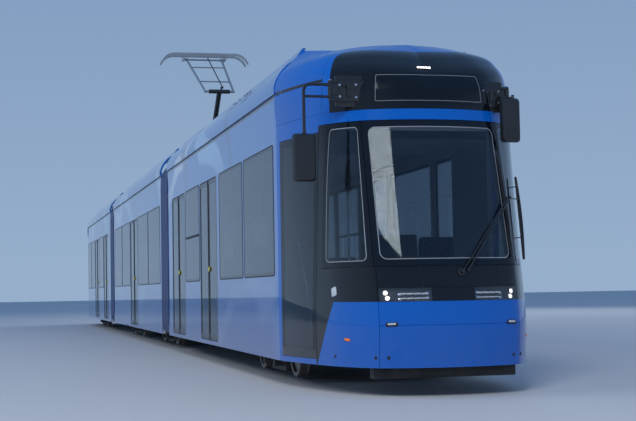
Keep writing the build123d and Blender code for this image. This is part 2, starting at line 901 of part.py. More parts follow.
def car_seats(car):
    with BuildPart() as seats:
        for x, side, way, base, floor_height in seat_places(car):
            top = floor_height + seat_height
            y = side * (half_width - wall - seat_wall_gap - box_seat_width / 2)
            rear, edge = x - way * cushion_depth / 2, x + way * cushion_depth / 2
            under = top - cushion_thickness
            near, far = x + way * pedestal_front, x - way * pedestal_rear
            with BuildSketch(Plane.XZ.offset(-y - box_seat_width / 2)):
                with BuildLine():
                    Polyline(
                        (rear, top), (edge, top + cushion_rise), (edge, under + cushion_undercut),
                        (near, under), (near, base + seat_gap), (far, base + seat_gap), (far, under),
                        (rear, under), close=True,
                    )
                make_face()
                with BuildLine():
                    foot = rear - way * seat_gap
                    head = foot - way * seat_back_lean
                    Polyline(
                        (foot, under), (foot, top), (head, top + seat_back_height),
                        (head - way * seat_back_thickness, top + seat_back_height),
                        (foot - way * seat_back_thickness, under), close=True,
                    )
                make_face()
            extrude(amount=box_seat_width)
    finish(seats.part, f"{car}_seats")


# Upright poles beside the doorways and two overhead rails on hangers
def car_handrails(car):
    front, back = span[car]
    with BuildPart() as rails:
        for kind, x, size in side_bays(car, -1):
            if kind != "door":
                continue
            for way in (-1, 1):
                pole_x = x + way * (size / 2 - pole_inset)
                foot = floor_top(car, pole_x - pole_radius, pole_x + pole_radius) + seat_gap
                for side in (-1, 1):
                    y = side * pole_y
                    bar((pole_x, y, foot), (pole_x, y, z_ceiling - seat_gap), pole_radius)
        low, high = back + 2 * wall + rail_end, front - 2 * wall - rail_end
        rail_z = z_ceiling - rail_drop
        for y in (-rail_y, rail_y):
            bar((low, y, rail_z), (high, y, rail_z), pole_radius)
            for share in hanger_shares:
                x = low + share * (high - low)
                bar((x, y, rail_z), (x, y, z_ceiling - seat_gap), hanger_radius)
    finish(rails.part, f"{car}_handrails")


# Driver's desk with its top over the shelf, and the driver's seat
def cab_desk():
    with BuildPart() as desk:
        with BuildSketch(Plane.XZ):
            with BuildLine():
                wall_x = x_tip - bulkhead - 10
                Polyline(
                    (wall_x, z_floor + seat_gap), (x_tip - desk_rear + 180, z_floor + seat_gap),
                    (x_tip - desk_rear, z_shelf - 140), (x_tip - desk_rear, z_shelf - desk_rise),
                    (wall_x - 150, z_shelf + desk_rise), (x_tip - desk_front, z_shelf + desk_rise),
                    (x_tip - desk_front, z_shelf + 2 * seat_gap), (wall_x, z_shelf + 2 * seat_gap),
                    close=True,
                )
            make_face()
        extrude(amount=desk_half, both=True)
        seat_x = x_tip - driver_x
        with Locations((seat_x, 0, z_floor + seat_gap)):
            Cylinder(driver_column, driver_seat_low, align=(Align.CENTER, Align.CENTER, Align.MIN))
        length, width, thickness = driver_seat
        with BuildSketch(Plane.XY.offset(z_floor + driver_seat_low)):
            with Locations((seat_x + 20, 0)):
                RectangleRounded(length, width, thickness / 2)
        extrude(amount=thickness)
        with BuildSketch(Plane.XZ):
            with BuildLine():
                low = z_floor + driver_seat_low + 20
                high = low + driver_back_height
                Polyline(
                    (seat_x - 215, low), (seat_x - 150, low), (seat_x - 240, high), (seat_x - 300, high),
                    close=True,
                )
            make_face()
        extrude(amount=driver_back_half, both=True)
    finish(desk.part, "cab_desk")


# Partition behind the cab, with its glazed upper half cut out
def cab_partition():
    half = half_width - wall - seat_gap
    with BuildPart() as panel:
        with BuildSketch(Plane.YZ.offset(x_cab - partition_setback)):
            with Locations((0, (z_floor + z_ceiling) / 2)):
                Rectangle(2 * half, z_ceiling - z_floor - 2 * seat_gap)
            with Locations((0, (z_window + z_top) / 2)):
                RectangleRounded(1500, z_top - z_window - 200, bay_corner, mode=Mode.SUBTRACT)
        extrude(amount=partition_thickness)
    finish(panel.part, "cab_partition")


# Point on the windscreen's face, out from it by a distance; y and the height over the rail are given
def screen_face(y, height, out=0):
    level = 3 if height >= nose_levels[3][0] else 2
    low, high = nose_levels[level], nose_levels[level + 1]
    share = (height - low[0]) / (high[0] - low[0])
    tip = low[1] + share * (high[1] - low[1])
    bow = low[2] + share * (high[2] - low[2])
    bow_half = low[3] + share * (high[3] - low[3])
    return (x_tip - tip - (bow - tip) * (y / bow_half) ** 2 + out, y, flange + height)


# Wiper: spindle, double arm and blade
def wiper():
    y, height = wiper_foot
    with BuildPart() as arm:
        hub = Vector(*screen_face(y, height))
        along = Vector(*screen_face(y, height + arm_spread)) - hub
        across = Vector(*screen_face(y + 20, height)) - Vector(*screen_face(y - 20, height))
        out = across.cross(along).normalized()
        bar(hub + out * seat_gap, hub + out * (wiper_stand + wiper_hub), wiper_hub)
        knee = screen_face(*wiper_knee, wiper_stand)
        for rise in (0, arm_spread):
            bar(screen_face(y, height + rise, wiper_stand), knee, wiper_arm)
        bar(hub + out * wiper_stand, screen_face(y, height + arm_spread, wiper_stand), wiper_arm + 2)
        bar(screen_face(*blade_low, blade_stand), screen_face(*blade_high, blade_stand), wiper_blade)
        bar(screen_face(wiper_knee[0] - 20, wiper_knee[1] - 20, blade_stand), knee, wiper_arm + 3)
    finish(arm.part, "wiper")


# Fixed bracket of a mirror with its two lugs and the pin
def mirror_bracket(side, setback, y, height):
    x, z = x_tip - setback, flange + height
    with BuildPart() as bracket:
        with Locations((x, side * (y - bracket_width / 2 - 30), z)):
            Box(bracket_depth, bracket_width, bracket_height)
        for way in (-1, 1):
            with Locations((x, side * (y - 30), z + way * (bracket_height - lug_thickness) / 2)):
                Box(40, 100, lug_thickness)
        with Locations((x, side * y, z)):
            Cylinder(mirror_pin, bracket_height)
    return bracket.part


def rear_mirror(name):
    side, setback, y, height, (ahead, reach, drop), (depth, width, tall) = mirrors[name]
    x, z = x_tip - setback, flange + height
    sleeve_half = bracket_height / 2 - lug_thickness - 2
    head_x, head_y, head_top = x + ahead, side * (y + reach), z - drop
    with BuildPart() as head:
        with Locations((x, side * y, z)):
            Cylinder(mirror_sleeve, 2 * sleeve_half)
        # Two arms and an upright tube down to the head, or one arm straight into it
        heights = (z - arm_rise, z + arm_rise) if drop > bracket_height else (head_top - mirror_tube,)
        for arm_z in heights:
            root_y = side * (y + (mirror_pin + mirror_sleeve) / 2)
            bar((x, root_y, arm_z), (head_x, head_y, arm_z), mirror_tube)
            with Locations((head_x, head_y, arm_z)):
                Sphere(mirror_tube + 1)
        if len(heights) == 2:
            bar((head_x, head_y, heights[1]), (head_x, head_y, head_top - 20), mirror_tube)
        with Locations((head_x, head_y, head_top - tall / 2)):
            Box(depth, width, tall)
        fillet(head.edges().filter_by(Axis.X).group_by(Axis.Z)[0], mirror_corner)
        with Locations((x, side * y, z)):
            Cylinder(mirror_pin + running_fit, 2 * bracket_height, mode=Mode.SUBTRACT)
    finish(head.part, f"mirror_{name}")


def up(point, y=0, rise=0, ahead=0):
    return (point[0] + ahead, y, flange + point[1] + rise)


def pantograph():
    base_z = z_roof + insulator_height
    knee, head, foot = up(panto_knee), up(panto_head), up(panto_pivot)
    with BuildPart() as base:
        for dx in (-insulator_x, insulator_x):
            for dy in (-insulator_y, insulator_y):
                for step in range(4):
                    radius = 60 if step % 2 else 38
                    with Locations((foot[0] + dx, dy, z_roof + seat_gap + step * insulator_height / 4)):
                        Cylinder(radius, insulator_height / 4, align=(Align.CENTER, Align.CENTER, Align.MIN))
        for dy in (-insulator_y, insulator_y):
            with Locations((foot[0], dy, base_z + base_tube / 2 - 1)):
                Box(2 * insulator_x + 120, base_tube, base_tube)
        for dx in (-insulator_x, 0, insulator_x):
            with Locations((foot[0] + dx, 0, base_z + base_tube / 2 - 1)):
                Box(base_tube, 2 * insulator_y, base_tube)
        for dy in (-pivot_half - 25, pivot_half + 25):
            with BuildSketch(Plane.XZ.offset(-dy - 10)):
                with BuildLine():
                    Polyline(
                        (foot[0] - 110, base_z + 20), (foot[0] + 110, base_z + 20),
                        (foot[0] + 45, foot[2]), (foot[0] - 45, foot[2]), close=True,
                    )
                make_face()
                with Locations((foot[0], foot[2])):
                    Circle(45)
            extrude(amount=20)
        bar((foot[0], -pivot_half - 30, foot[2]), (foot[0], pivot_half + 30, foot[2]), pivot_pin)
        with Locations((foot[0] - insulator_x / 2, 0, base_z + base_tube + 50)):
            Box(insulator_x, 200, 110)
    finish(base.part, "pantograph_base")

    with BuildPart() as lower:
        bar((foot[0], -pivot_half + 10, foot[2]), (foot[0], pivot_half - 10, foot[2]), 48)
        bar(foot, knee, lower_tube)
        bar((knee[0], -knee_half + 70, knee[2]), (knee[0], knee_half - 70, knee[2]), 38)
        bar((knee[0], lug_y, knee[2]), (knee[0], lug_y, knee[2] + rod_rise + 12), 14)
        bar((knee[0], lug_y, knee[2] + rod_rise), (knee[0], rod_y + 16, knee[2] + rod_rise), rod_pin)
        for (x, _, z), half, pin in ((foot, pivot_half, pivot_pin), (knee, knee_half, knee_pin)):
            bar((x, -half, z), (x, half, z), pin + running_fit, Mode.SUBTRACT)
    finish(lower.part, "pantograph_lower_arm")

    with BuildPart() as upper:
        bar((knee[0], -knee_half - 20, knee[2]), (knee[0], knee_half + 20, knee[2]), knee_pin)
        for side in (-1, 1):
            bar((knee[0], side * knee_half, knee[2]), (head[0], side * head_half, head[2]), upper_tube)
            bar((head[0], side * (head_half - 28), head[2]), (head[0], side * (head_half + 28), head[2]), 30)
        for share, size in ((0.3, 12), (0.75, 12)):
            x = knee[0] + share * (head[0] - knee[0])
            z = knee[2] + share * (head[2] - knee[2])
            y = knee_half + share * (head_half - knee_half)
            bar((x, -y, z), (x, y, z), size)
        far = head_half + 40
        bar((head[0], -far, head[2]), (head[0], far, head[2]), head_pin + running_fit, Mode.SUBTRACT)
    finish(upper.part, "pantograph_upper_arm")

    with BuildPart() as collector:
        bar((head[0], -head_half - 70, head[2]), (head[0], head_half + 70, head[2]), head_pin)
        strip_z = head[2] + 75
        for side in (-1, 1):
            y = side * (head_half + 62)
            with Locations((head[0], y, (head[2] + strip_z) / 2)):
                Box(strip_apart + 40, 22, strip_z - head[2] + 30)
        edge, strip_top, horn_z = strip_half - 30, strip_z + strip_height, strip_z - horn_drop
        for way in (-1, 1):
            x = head[0] + way * strip_apart / 2
            with Locations((x, 0, strip_z + strip_height / 2)):
                Box(45, 2 * strip_half, strip_height)
            for side in (-1, 1):
                with BuildSketch(Plane.YZ.offset(x - 15)):
                    with BuildLine():
                        Line((side * edge, strip_z), (side * edge, strip_top))
                        ThreePointArc(
                            (side * edge, strip_top), (side * (edge + 200), strip_top - 60),
                            (side * horn_half, horn_z),
                        )
                        Line((side * horn_half, horn_z), (side * (horn_half - 30), horn_z))
                        ThreePointArc(
                            (side * (horn_half - 30), horn_z), (side * (edge + 170), strip_z - 50),
                            (side * edge, strip_z),
                        )
                    make_face()
                extrude(amount=30)
    finish(collector.part, "pantograph_head")

    with BuildPart() as rod:
        low = (knee[0], rod_y, knee[2] + rod_rise)
        bar(low, (head[0] + 40, rod_y, head[2] + rod_rise - 35), rod_radius)
        bar((low[0], rod_y - 12, low[2]), (low[0], rod_y + 12, low[2]), 22)
        bar((low[0], rod_y - 20, low[2]), (low[0], rod_y + 20, low[2]), rod_pin + running_fit, Mode.SUBTRACT)
    finish(rod.part, "pantograph_rod")


brackets = [mirror_bracket(*mirrors[name][:4]) for name in mirrors]
nose_pieces(("cab_base", "cab_mask", "cab_hood", "windscreen", "headlamps"), z_floor, True, False)
tail_names = ("tail_base", "tail_mask", "tail_hood", "rear_windscreen", "tail_lamps")
nose_pieces(tail_names, z_high_floor, False, True)

for car in span:
    car_walls(car)
    car_seats(car)
    car_handrails(car)
    car_roof(car)
    car_roof_units(car)
    car_floor(car)
car_doors("front", [cab_leaf])
car_doors("middle")
car_doors("rear")
car_glazing("front", nose_panes(True))
car_glazing("middle")
car_glazing("rear", [mirror(pane, about=Plane.YZ) for pane in nose_panes(False)])
for number, car, x, powered in bogies:
    bogie_frame(number, x, powered)
    wheelset(2 * number - 1, x + wheelbase / 2)
    wheelset(2 * number, x - wheelbase / 2)
bellows("front")
bellows("rear")
cab_desk()
cab_partition()
wiper()
rear_mirror("right")
rear_mirror("left")
pantograph()
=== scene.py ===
import math
import bpy
import numpy as np
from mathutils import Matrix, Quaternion, Vector


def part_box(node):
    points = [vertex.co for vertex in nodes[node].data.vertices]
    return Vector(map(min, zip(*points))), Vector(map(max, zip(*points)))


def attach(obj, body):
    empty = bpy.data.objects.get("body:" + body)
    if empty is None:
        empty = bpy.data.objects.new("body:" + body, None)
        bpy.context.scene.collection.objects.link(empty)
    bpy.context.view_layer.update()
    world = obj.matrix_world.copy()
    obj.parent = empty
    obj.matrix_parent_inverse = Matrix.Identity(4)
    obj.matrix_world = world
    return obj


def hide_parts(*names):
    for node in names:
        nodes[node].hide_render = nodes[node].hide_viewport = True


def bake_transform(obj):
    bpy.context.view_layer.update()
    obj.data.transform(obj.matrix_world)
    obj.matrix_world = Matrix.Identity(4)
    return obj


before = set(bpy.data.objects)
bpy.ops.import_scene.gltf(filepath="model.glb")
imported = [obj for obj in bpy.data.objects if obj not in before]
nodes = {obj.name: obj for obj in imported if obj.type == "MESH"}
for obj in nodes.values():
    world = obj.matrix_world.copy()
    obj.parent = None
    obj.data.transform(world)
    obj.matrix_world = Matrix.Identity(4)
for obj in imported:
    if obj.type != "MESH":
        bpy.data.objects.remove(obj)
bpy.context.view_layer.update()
print("stage: frame loaded,", len(nodes), "nodes")


# Shader helpers: each returns an output socket
def newMaterial(name, **values):
    mat = bpy.data.materials.new(name)
    mat.use_nodes = True
    shader = mat.node_tree.nodes["Principled BSDF"]
    for socket, value in values.items():
        shader.inputs[socket.replace("_", " ")].default_value = value
    return mat, mat.node_tree, shader


def plug(tree, socket, value):
    if isinstance(value, bpy.types.NodeSocket):
        tree.links.new(value, socket)
    else:
        socket.default_value = value


def calc(tree, operation, a, b=0.0, c=0.0):
    node = tree.nodes.new("ShaderNodeMath")
    node.operation = operation
    for socket, value in zip(node.inputs, (a, b, c)):
        plug(tree, socket, value)
    return node.outputs[0]


def place(tree, stretch=(1, 1, 1)):  # object coordinates, stretched
    point = tree.nodes.new("ShaderNodeTexCoord").outputs["Object"]
    if stretch == (1, 1, 1):
        return point
    node = tree.nodes.new("ShaderNodeVectorMath")
    node.operation = "MULTIPLY"
    tree.links.new(point, node.inputs[0])
    node.inputs[1].default_value = stretch
    return node.outputs[0]


def axes(tree, source=None):
    node = tree.nodes.new("ShaderNodeSeparateXYZ")
    tree.links.new(source or place(tree), node.inputs[0])
    return node.outputs


def flatMap(tree):  # the piece's own map, in metres
    return axes(tree, tree.nodes.new("ShaderNodeUVMap").outputs[0])


def noise(tree, scale, detail=3.0, roughness=0.55, stretch=(1, 1, 1)):
    node = tree.nodes.new("ShaderNodeTexNoise")
    tree.links.new(place(tree, stretch), node.inputs["Vector"])
    node.inputs["Scale"].default_value = scale
    node.inputs["Detail"].default_value = detail
    node.inputs["Roughness"].default_value = roughness
    return node.outputs["Fac"]


def rise(tree, value, low, high, bottom=0.0, top=1.0):  # bottom below low, top above high
    node = tree.nodes.new("ShaderNodeMapRange")
    plug(tree, node.inputs["Value"], value)
    for socket, number in zip(("From Min", "From Max", "To Min", "To Max"), (low, high, bottom, top)):
        plug(tree, node.inputs[socket], number)
    return node.outputs["Result"]


def within(tree, value, low, high, soft=0.0015):
    up = rise(tree, value, low - soft, low + soft)
    down = rise(tree, value, high - soft, high + soft, 1.0, 0.0)
    return calc(tree, "MULTIPLY", up, down)


def both(tree, a, b):
    return calc(tree, "MULTIPLY", a, b)


def either(tree, a, b):
    return calc(tree, "MAXIMUM", a, b)


def mixColour(tree, share, a, b):
    node = tree.nodes.new("ShaderNodeMix")
    node.data_type = "RGBA"
    plug(tree, node.inputs["Factor"], share)
    plug(tree, node.inputs["A"], a if isinstance(a, bpy.types.NodeSocket) else (*a, 1))
    plug(tree, node.inputs["B"], b if isinstance(b, bpy.types.NodeSocket) else (*b, 1))
    return node.outputs["Result"]


def bump(tree, shader, height, strength=0.3, distance=0.001):
    node = tree.nodes.new("ShaderNodeBump")
    node.inputs["Strength"].default_value = strength
    node.inputs["Distance"].default_value = distance
    plug(tree, node.inputs["Height"], height)
    tree.links.new(node.outputs[0], shader.inputs["Normal"])


def roundedFrame(tree, u, v, halfWidth, halfHeight, corner):
    # distance to a rectangle with round corners, less than nought inside it
    q = []
    for value, half in ((u, halfWidth), (v, halfHeight)):
        q.append(calc(tree, "SUBTRACT", calc(tree, "ABSOLUTE", value), half - corner))
    outer = [calc(tree, "POWER", calc(tree, "MAXIMUM", value, 0.0), 2.0) for value in q]
    reach = calc(tree, "SQRT", calc(tree, "ADD", *outer))
    inner = calc(tree, "MINIMUM", calc(tree, "MAXIMUM", *q), 0.0)
    return calc(tree, "SUBTRACT", calc(tree, "ADD", reach, inner), corner)


# A surface of one colour with slow variation, fine grain, and road dust near the ground
def plainFinish(name, colour, roughness=0.4, metallic=0.0, vary=0.12, grain=0.15, grainScale=220.0,
                dust=0.35, dustTop=0.9, coat=0.0, specks=None):
    mat, tree, shader = newMaterial(name, Metallic=metallic, Coat_Weight=coat, Coat_Roughness=0.05)
    slow = noise(tree, 1.7, 5.0, 0.6)
    darker = tuple(c * (1 - vary) for c in colour)
    lighter = tuple(min(1.0, c * (1 + vary) + 0.01 * vary) for c in colour)
    shade = mixColour(tree, rise(tree, slow, 0.3, 0.7), darker, lighter)
    if specks:
        spot = rise(tree, noise(tree, 900.0, 1.0), 0.60, 0.64)
        shade = mixColour(tree, spot, shade, specks)
    height = axes(tree)[2]
    film = rise(tree, height, 0.05, dustTop, dust, 0.0)
    patchy = both(tree, film, rise(tree, noise(tree, 6.0, 6.0, 0.7), 0.35, 0.7))
    shade = mixColour(tree, patchy, shade, (0.19, 0.165, 0.135))
    tree.links.new(shade, shader.inputs["Base Color"])
    fine = noise(tree, grainScale, 2.0)
    rough = calc(tree, "MULTIPLY_ADD", noise(tree, 23.0, 4.0), 0.16, roughness - 0.08)
    tree.links.new(calc(tree, "ADD", rough, both(tree, patchy, 0.35)), shader.inputs["Roughness"])
    bump(tree, shader, fine, grain, 0.0006)
    return mat


paints = {
    "blue": (0.0, 0.112, 0.50),
    "deepBlue": (0.0, 0.040, 0.22),
    "filmBlue": (0.01, 0.15, 0.50),
    "paleBlue": (0.36, 0.60, 0.90),
    "filmWhite": (0.78, 0.87, 0.97),
    "black": (0.004, 0.005, 0.008),
    "lining": (0.55, 0.57, 0.58),
    "dust": (0.22, 0.20, 0.17),
}


# Glossy paint whose colour comes as a socket: clear coat, faint orange peel, dust low down
def glossFinish(tree, shader, colour, dust=0.12):
    height = axes(tree)[2]
    patches = rise(tree, noise(tree, 5.0, 7.0, 0.7), 0.35, 0.75)
    film = both(tree, rise(tree, height, 0.25, 0.75, dust, 0.0), patches)
    tree.links.new(mixColour(tree, film, colour, paints["dust"]), shader.inputs["Base Color"])
    smudge = calc(tree, "MULTIPLY_ADD", noise(tree, 3.1, 6.0, 0.65), 0.10, 0.16)
    tree.links.new(calc(tree, "ADD", smudge, both(tree, film, 0.4)), shader.inputs["Roughness"])
    shader.inputs["Specular IOR Level"].default_value = 0.25
    shader.inputs["Coat Weight"].default_value = 0.6
    shader.inputs["Coat Roughness"].default_value = 0.025
    shader.inputs["Coat IOR"].default_value = 1.5
    bump(tree, shader, noise(tree, 42.0, 1.0), 0.035, 0.002)


# Mesh helpers: a shape is its points and a list of face arrays
def meshFrom(name, points, faceSets):
    faceSets = [np.asarray(f, np.int32) for f in faceSets if len(f)]
    corners = np.concatenate([f.ravel() for f in faceSets])
    sizes = np.concatenate([np.full(len(f), f.shape[1], np.int32) for f in faceSets])
    mesh = bpy.data.meshes.new(name)
    mesh.vertices.add(len(points))
    mesh.vertices.foreach_set("co", np.asarray(points, np.float32).ravel())
    mesh.loops.add(len(corners))
    mesh.loops.foreach_set("vertex_index", corners)
    mesh.polygons.add(len(sizes))
    starts = np.concatenate([[0], np.cumsum(sizes)[:-1]]).astype(np.int32)
    mesh.polygons.foreach_set("loop_start", starts)
    mesh.update(calc_edges=True)
    return mesh, corners


def joined(shapes):  # several shapes as one
    points, sets, start = [], {}, 0
    for shapePoints, faceSets in shapes:
        points.append(shapePoints)
        for faces in faceSets:
            sets.setdefault(faces.shape[1], []).append(faces + start)
        start += len(shapePoints)
    return np.concatenate(points), [np.concatenate(found) for found in sets.values()]


def addPiece(name, shape, body, material, replaced=(), flat=None, crease=30):
    points, faceSets = shape
    mesh, corners = meshFrom(name, points, faceSets)
    if flat is not None:
        layer = mesh.uv_layers.new(name="flat")
        layer.data.foreach_set("uv", np.asarray(flat, np.float32)[corners].ravel())
    piece = bpy.data.objects.new(name, mesh)
    bpy.context.scene.collection.objects.link(piece)
    mesh.polygons.foreach_set("use_smooth", np.ones(len(mesh.polygons), bool))
    mesh.set_sharp_from_angle(angle=math.radians(crease))
    mesh.materials.append(material)
    if body:
        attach(piece, body)
    if replaced:
        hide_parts(*replaced)
    return piece


def gridFaces(rows, columns, wrap=False):
    i, j = np.meshgrid(np.arange(rows - 1), np.arange(columns if wrap else columns - 1), indexing="ij")
    k = (j + 1) % columns
    corners = [i * columns + j, i * columns + k, (i + 1) * columns + k, (i + 1) * columns + j]
    return np.stack(corners, -1).reshape(-1, 4)


def gridNormals(grid):
    n = np.cross(np.gradient(grid, axis=1), np.gradient(grid, axis=0))
    return n / np.maximum(np.linalg.norm(n, axis=2, keepdims=True), 1e-9)


# A wall of even thickness behind a grid of points (rows, columns, 3), closed all round.
# The face shows on the side of columns x rows; flip turns it round.
def shellShape(grid, thickness, flip=False, proud=0.0):
    rows, columns = grid.shape[:2]
    out = gridNormals(grid) * (-1 if flip else 1)
    count = rows * columns
    inside = grid - out * (thickness - proud)
    points = np.concatenate([(grid + out * proud).reshape(-1, 3), inside.reshape(-1, 3)])
    face = gridFaces(rows, columns)
    ring = np.concatenate([
        np.arange(columns), (np.arange(1, rows) + 1) * columns - 1,
        (rows - 1) * columns + np.arange(columns - 2, -1, -1), np.arange(rows - 2, 0, -1) * columns,
    ])
    after = np.roll(ring, -1)
    side = np.stack([ring, ring + count, after + count, after], 1)
    sets = [face, face[:, ::-1] + count, side]
    if flip:
        sets = [s[:, ::-1] for s in sets]
    return points, sets


def roundedRect(width, height, corner, steps=6):  # outline, anticlockwise, about the origin
    corner = max(min(corner, width / 2 - 1e-5, height / 2 - 1e-5), 1e-5)
    angle = np.linspace(0, np.pi / 2, steps)
    middle = [(width / 2 - corner, height / 2 - corner), (corner - width / 2, height / 2 - corner),
              (corner - width / 2, corner - height / 2), (width / 2 - corner, corner - height / 2)]
    turns = [np.stack([np.cos(angle + k * np.pi / 2), np.sin(angle + k * np.pi / 2)], 1) for k in range(4)]
    return np.concatenate([np.array(m) + corner * t for m, t in zip(middle, turns)])


# Plane axes for work facing +x, -x, +y, -y or +z: across, up, out
facings = {
    "+x": ((0, 1, 0), (0, 0, 1), (1, 0, 0)), "-x": ((0, -1, 0), (0, 0, 1), (-1, 0, 0)),
    "+y": ((-1, 0, 0), (0, 0, 1), (0, 1, 0)), "-y": ((1, 0, 0), (0, 0, 1), (0, -1, 0)),
    "+z": ((1, 0, 0), (0, 1, 0), (0, 0, 1)),
}


# A rounded block: a round-cornered outline carried through its depth, and drawn in along a quarter circle at
# each end
def blockShape(centre, width, height, depth, corner, edge, facing="+x", steps=3, turnSteps=5, taper=0.0):
    across, up, out = (np.array(v, float) for v in facings[facing])
    bend = np.linspace(0, np.pi / 2, steps)
    low = [(edge * (1 - np.sin(b)), -depth / 2 + edge * (1 - np.cos(b))) for b in bend]
    high = [(edge * (1 - np.cos(b)), depth / 2 - edge * (1 - np.sin(b))) for b in bend]
    rings = []
    for inset, at in low + high:
        lean = 2 * taper * (at / depth + 0.5)
        outline = roundedRect(width - 2 * inset - lean, height - 2 * inset - lean, corner - inset, turnSteps)
        rings.append(np.array(centre) + outline[:, :1] * across + outline[:, 1:] * up + at * out)
    size = len(rings[0])
    face = gridFaces(len(rings), size, wrap=True)
    caps = np.stack([np.arange(size)[::-1], np.arange(size) + (len(rings) - 1) * size])
    return np.concatenate(rings), [face, caps]


# A frame with a round-cornered hole, its front edges drawn in
def ringShape(centre, outer, inner, depth, facing, cornerOut=0.06, cornerIn=0.06, edge=0.004, steps=6):
    across, up, out = (np.array(v, float) for v in facings[facing])
    rings = []
    for (w, h, corner, at) in (
        (inner[0], inner[1], cornerIn, -depth / 2), (inner[0], inner[1], cornerIn, depth / 2 - edge),
        (inner[0] + 2 * edge, inner[1] + 2 * edge, cornerIn + edge, depth / 2),
        (outer[0] - 2 * edge, outer[1] - 2 * edge, cornerOut - edge, depth / 2),
        (outer[0], outer[1], cornerOut, depth / 2 - edge), (outer[0], outer[1], cornerOut, -depth / 2),
        (inner[0], inner[1], cornerIn, -depth / 2),
    ):
        outline = roundedRect(w, h, corner, steps)
        rings.append(np.array(centre) + outline[:, :1] * across + outline[:, 1:] * up + at * out)
    size = len(rings[0])
    face = gridFaces(7, size, wrap=True)
    face = np.where(face >= 6 * size, face - 6 * size, face)
    return np.concatenate(rings[:6]), [face]


# A round tube along a path of points, with frames carried by projection and both ends closed
def tubeShape(path, radius, sides=10):
    path = np.asarray(path, float)
    radius = np.broadcast_to(np.asarray(radius, float), (len(path),))
    along = np.gradient(path, axis=0)
    along /= np.linalg.norm(along, axis=1, keepdims=True)
    helper = np.array([0, 0, 1.0]) if abs(along[:, 2]).max() < 0.98 else np.array([0.35, 0.93, 0.1])
    across = np.cross(along, helper)
    across /= np.linalg.norm(across, axis=1, keepdims=True)
    up = np.cross(across, along)
    angle = np.linspace(0, 2 * np.pi, sides, endpoint=False)
    ring = np.cos(angle)[None, :, None] * across[:, None] + np.sin(angle)[None, :, None] * up[:, None]
    grid = path[:, None] + radius[:, None, None] * ring
    face = gridFaces(len(path), sides, wrap=True)[:, ::-1]
    caps = np.stack([np.arange(sides), (np.arange(sides) + (len(path) - 1) * sides)[::-1]])
    return grid.reshape(-1, 3), [face, caps]


# A profile (distance from the axis, place along it) turned about an axis through a centre
def turnedShape(centre, profile, axis="z", sides=24):
    profile = np.asarray(profile, float)
    angle = np.linspace(0, 2 * np.pi, sides, endpoint=False)
    r, at = profile[:, :1], np.repeat(profile[:, 1:], sides, 1)
    a, b = r * np.cos(angle), r * np.sin(angle)
    order = {"x": (at, a, b), "y": (b, at, a), "z": (a, b, at)}[axis]
    grid = np.stack(order, -1) + np.array(centre)
    face = gridFaces(len(profile), sides, wrap=True)
    caps = np.stack([np.arange(sides)[::-1], np.arange(sides) + (len(profile) - 1) * sides])
    return grid.reshape(-1, 3), [face, caps]


# Boxes of the separate solids of a CAD node: the lowest corner number spreads over every triangle that
# shares it
def solidBoxes(name):
    mesh = nodes[name].data
    points = np.zeros(len(mesh.vertices) * 3)
    mesh.vertices.foreach_get("co", points)
    points = points.reshape(-1, 3)
    corners = np.zeros(len(mesh.loops), np.int64)
    mesh.loops.foreach_get("vertex_index", corners)
    unique, same = np.unique(np.round(points, 5), axis=0, return_inverse=True)
    triangles = same.ravel()[corners].reshape(-1, 3)
    label = np.arange(len(unique))
    while True:
        lowest = label[triangles].min(1)
        fresh = label.copy()
        for k in range(3):
            np.minimum.at(fresh, triangles[:, k], lowest)
        fresh = fresh[fresh]
        if (fresh == label).all():
            break
        label = fresh
    groups = [unique[label == found] for found in np.unique(label)]
    return [(g.min(0), g.max(0)) for g in groups]


# The nose is one surface: at each height a plan line runs from the middle of the bow round the corner to the
# cab's end. A point on it is named by its distance along that line, less than nought on the right side.
nose = {
    "railTop": 0.022,
    "tip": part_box("cab_base")[1].x,
    "length": 2.1,
    "half": 1.2,
    # height over the rail; setbacks of the bow's middle and end and of the corner; half widths of the last
    # two
    "levels": [
        (0.245, 0.030, 0.180, 0.720, 0.660, 0.945), (0.630, 0.000, 0.150, 0.700, 0.670, 0.950),
        (0.830, 0.030, 0.180, 0.720, 0.670, 0.950), (1.150, 0.100, 0.255, 0.790, 0.675, 0.950),
        (3.000, 0.660, 0.800, 1.140, 0.640, 0.970), (3.600, 0.860, 1.000, 1.290, 0.610, 0.945),
    ],
    "cornerBulge": 0.025,
    "flankBulge": 0.028,
    "softening": 0.055,
    "samples": 260,
}


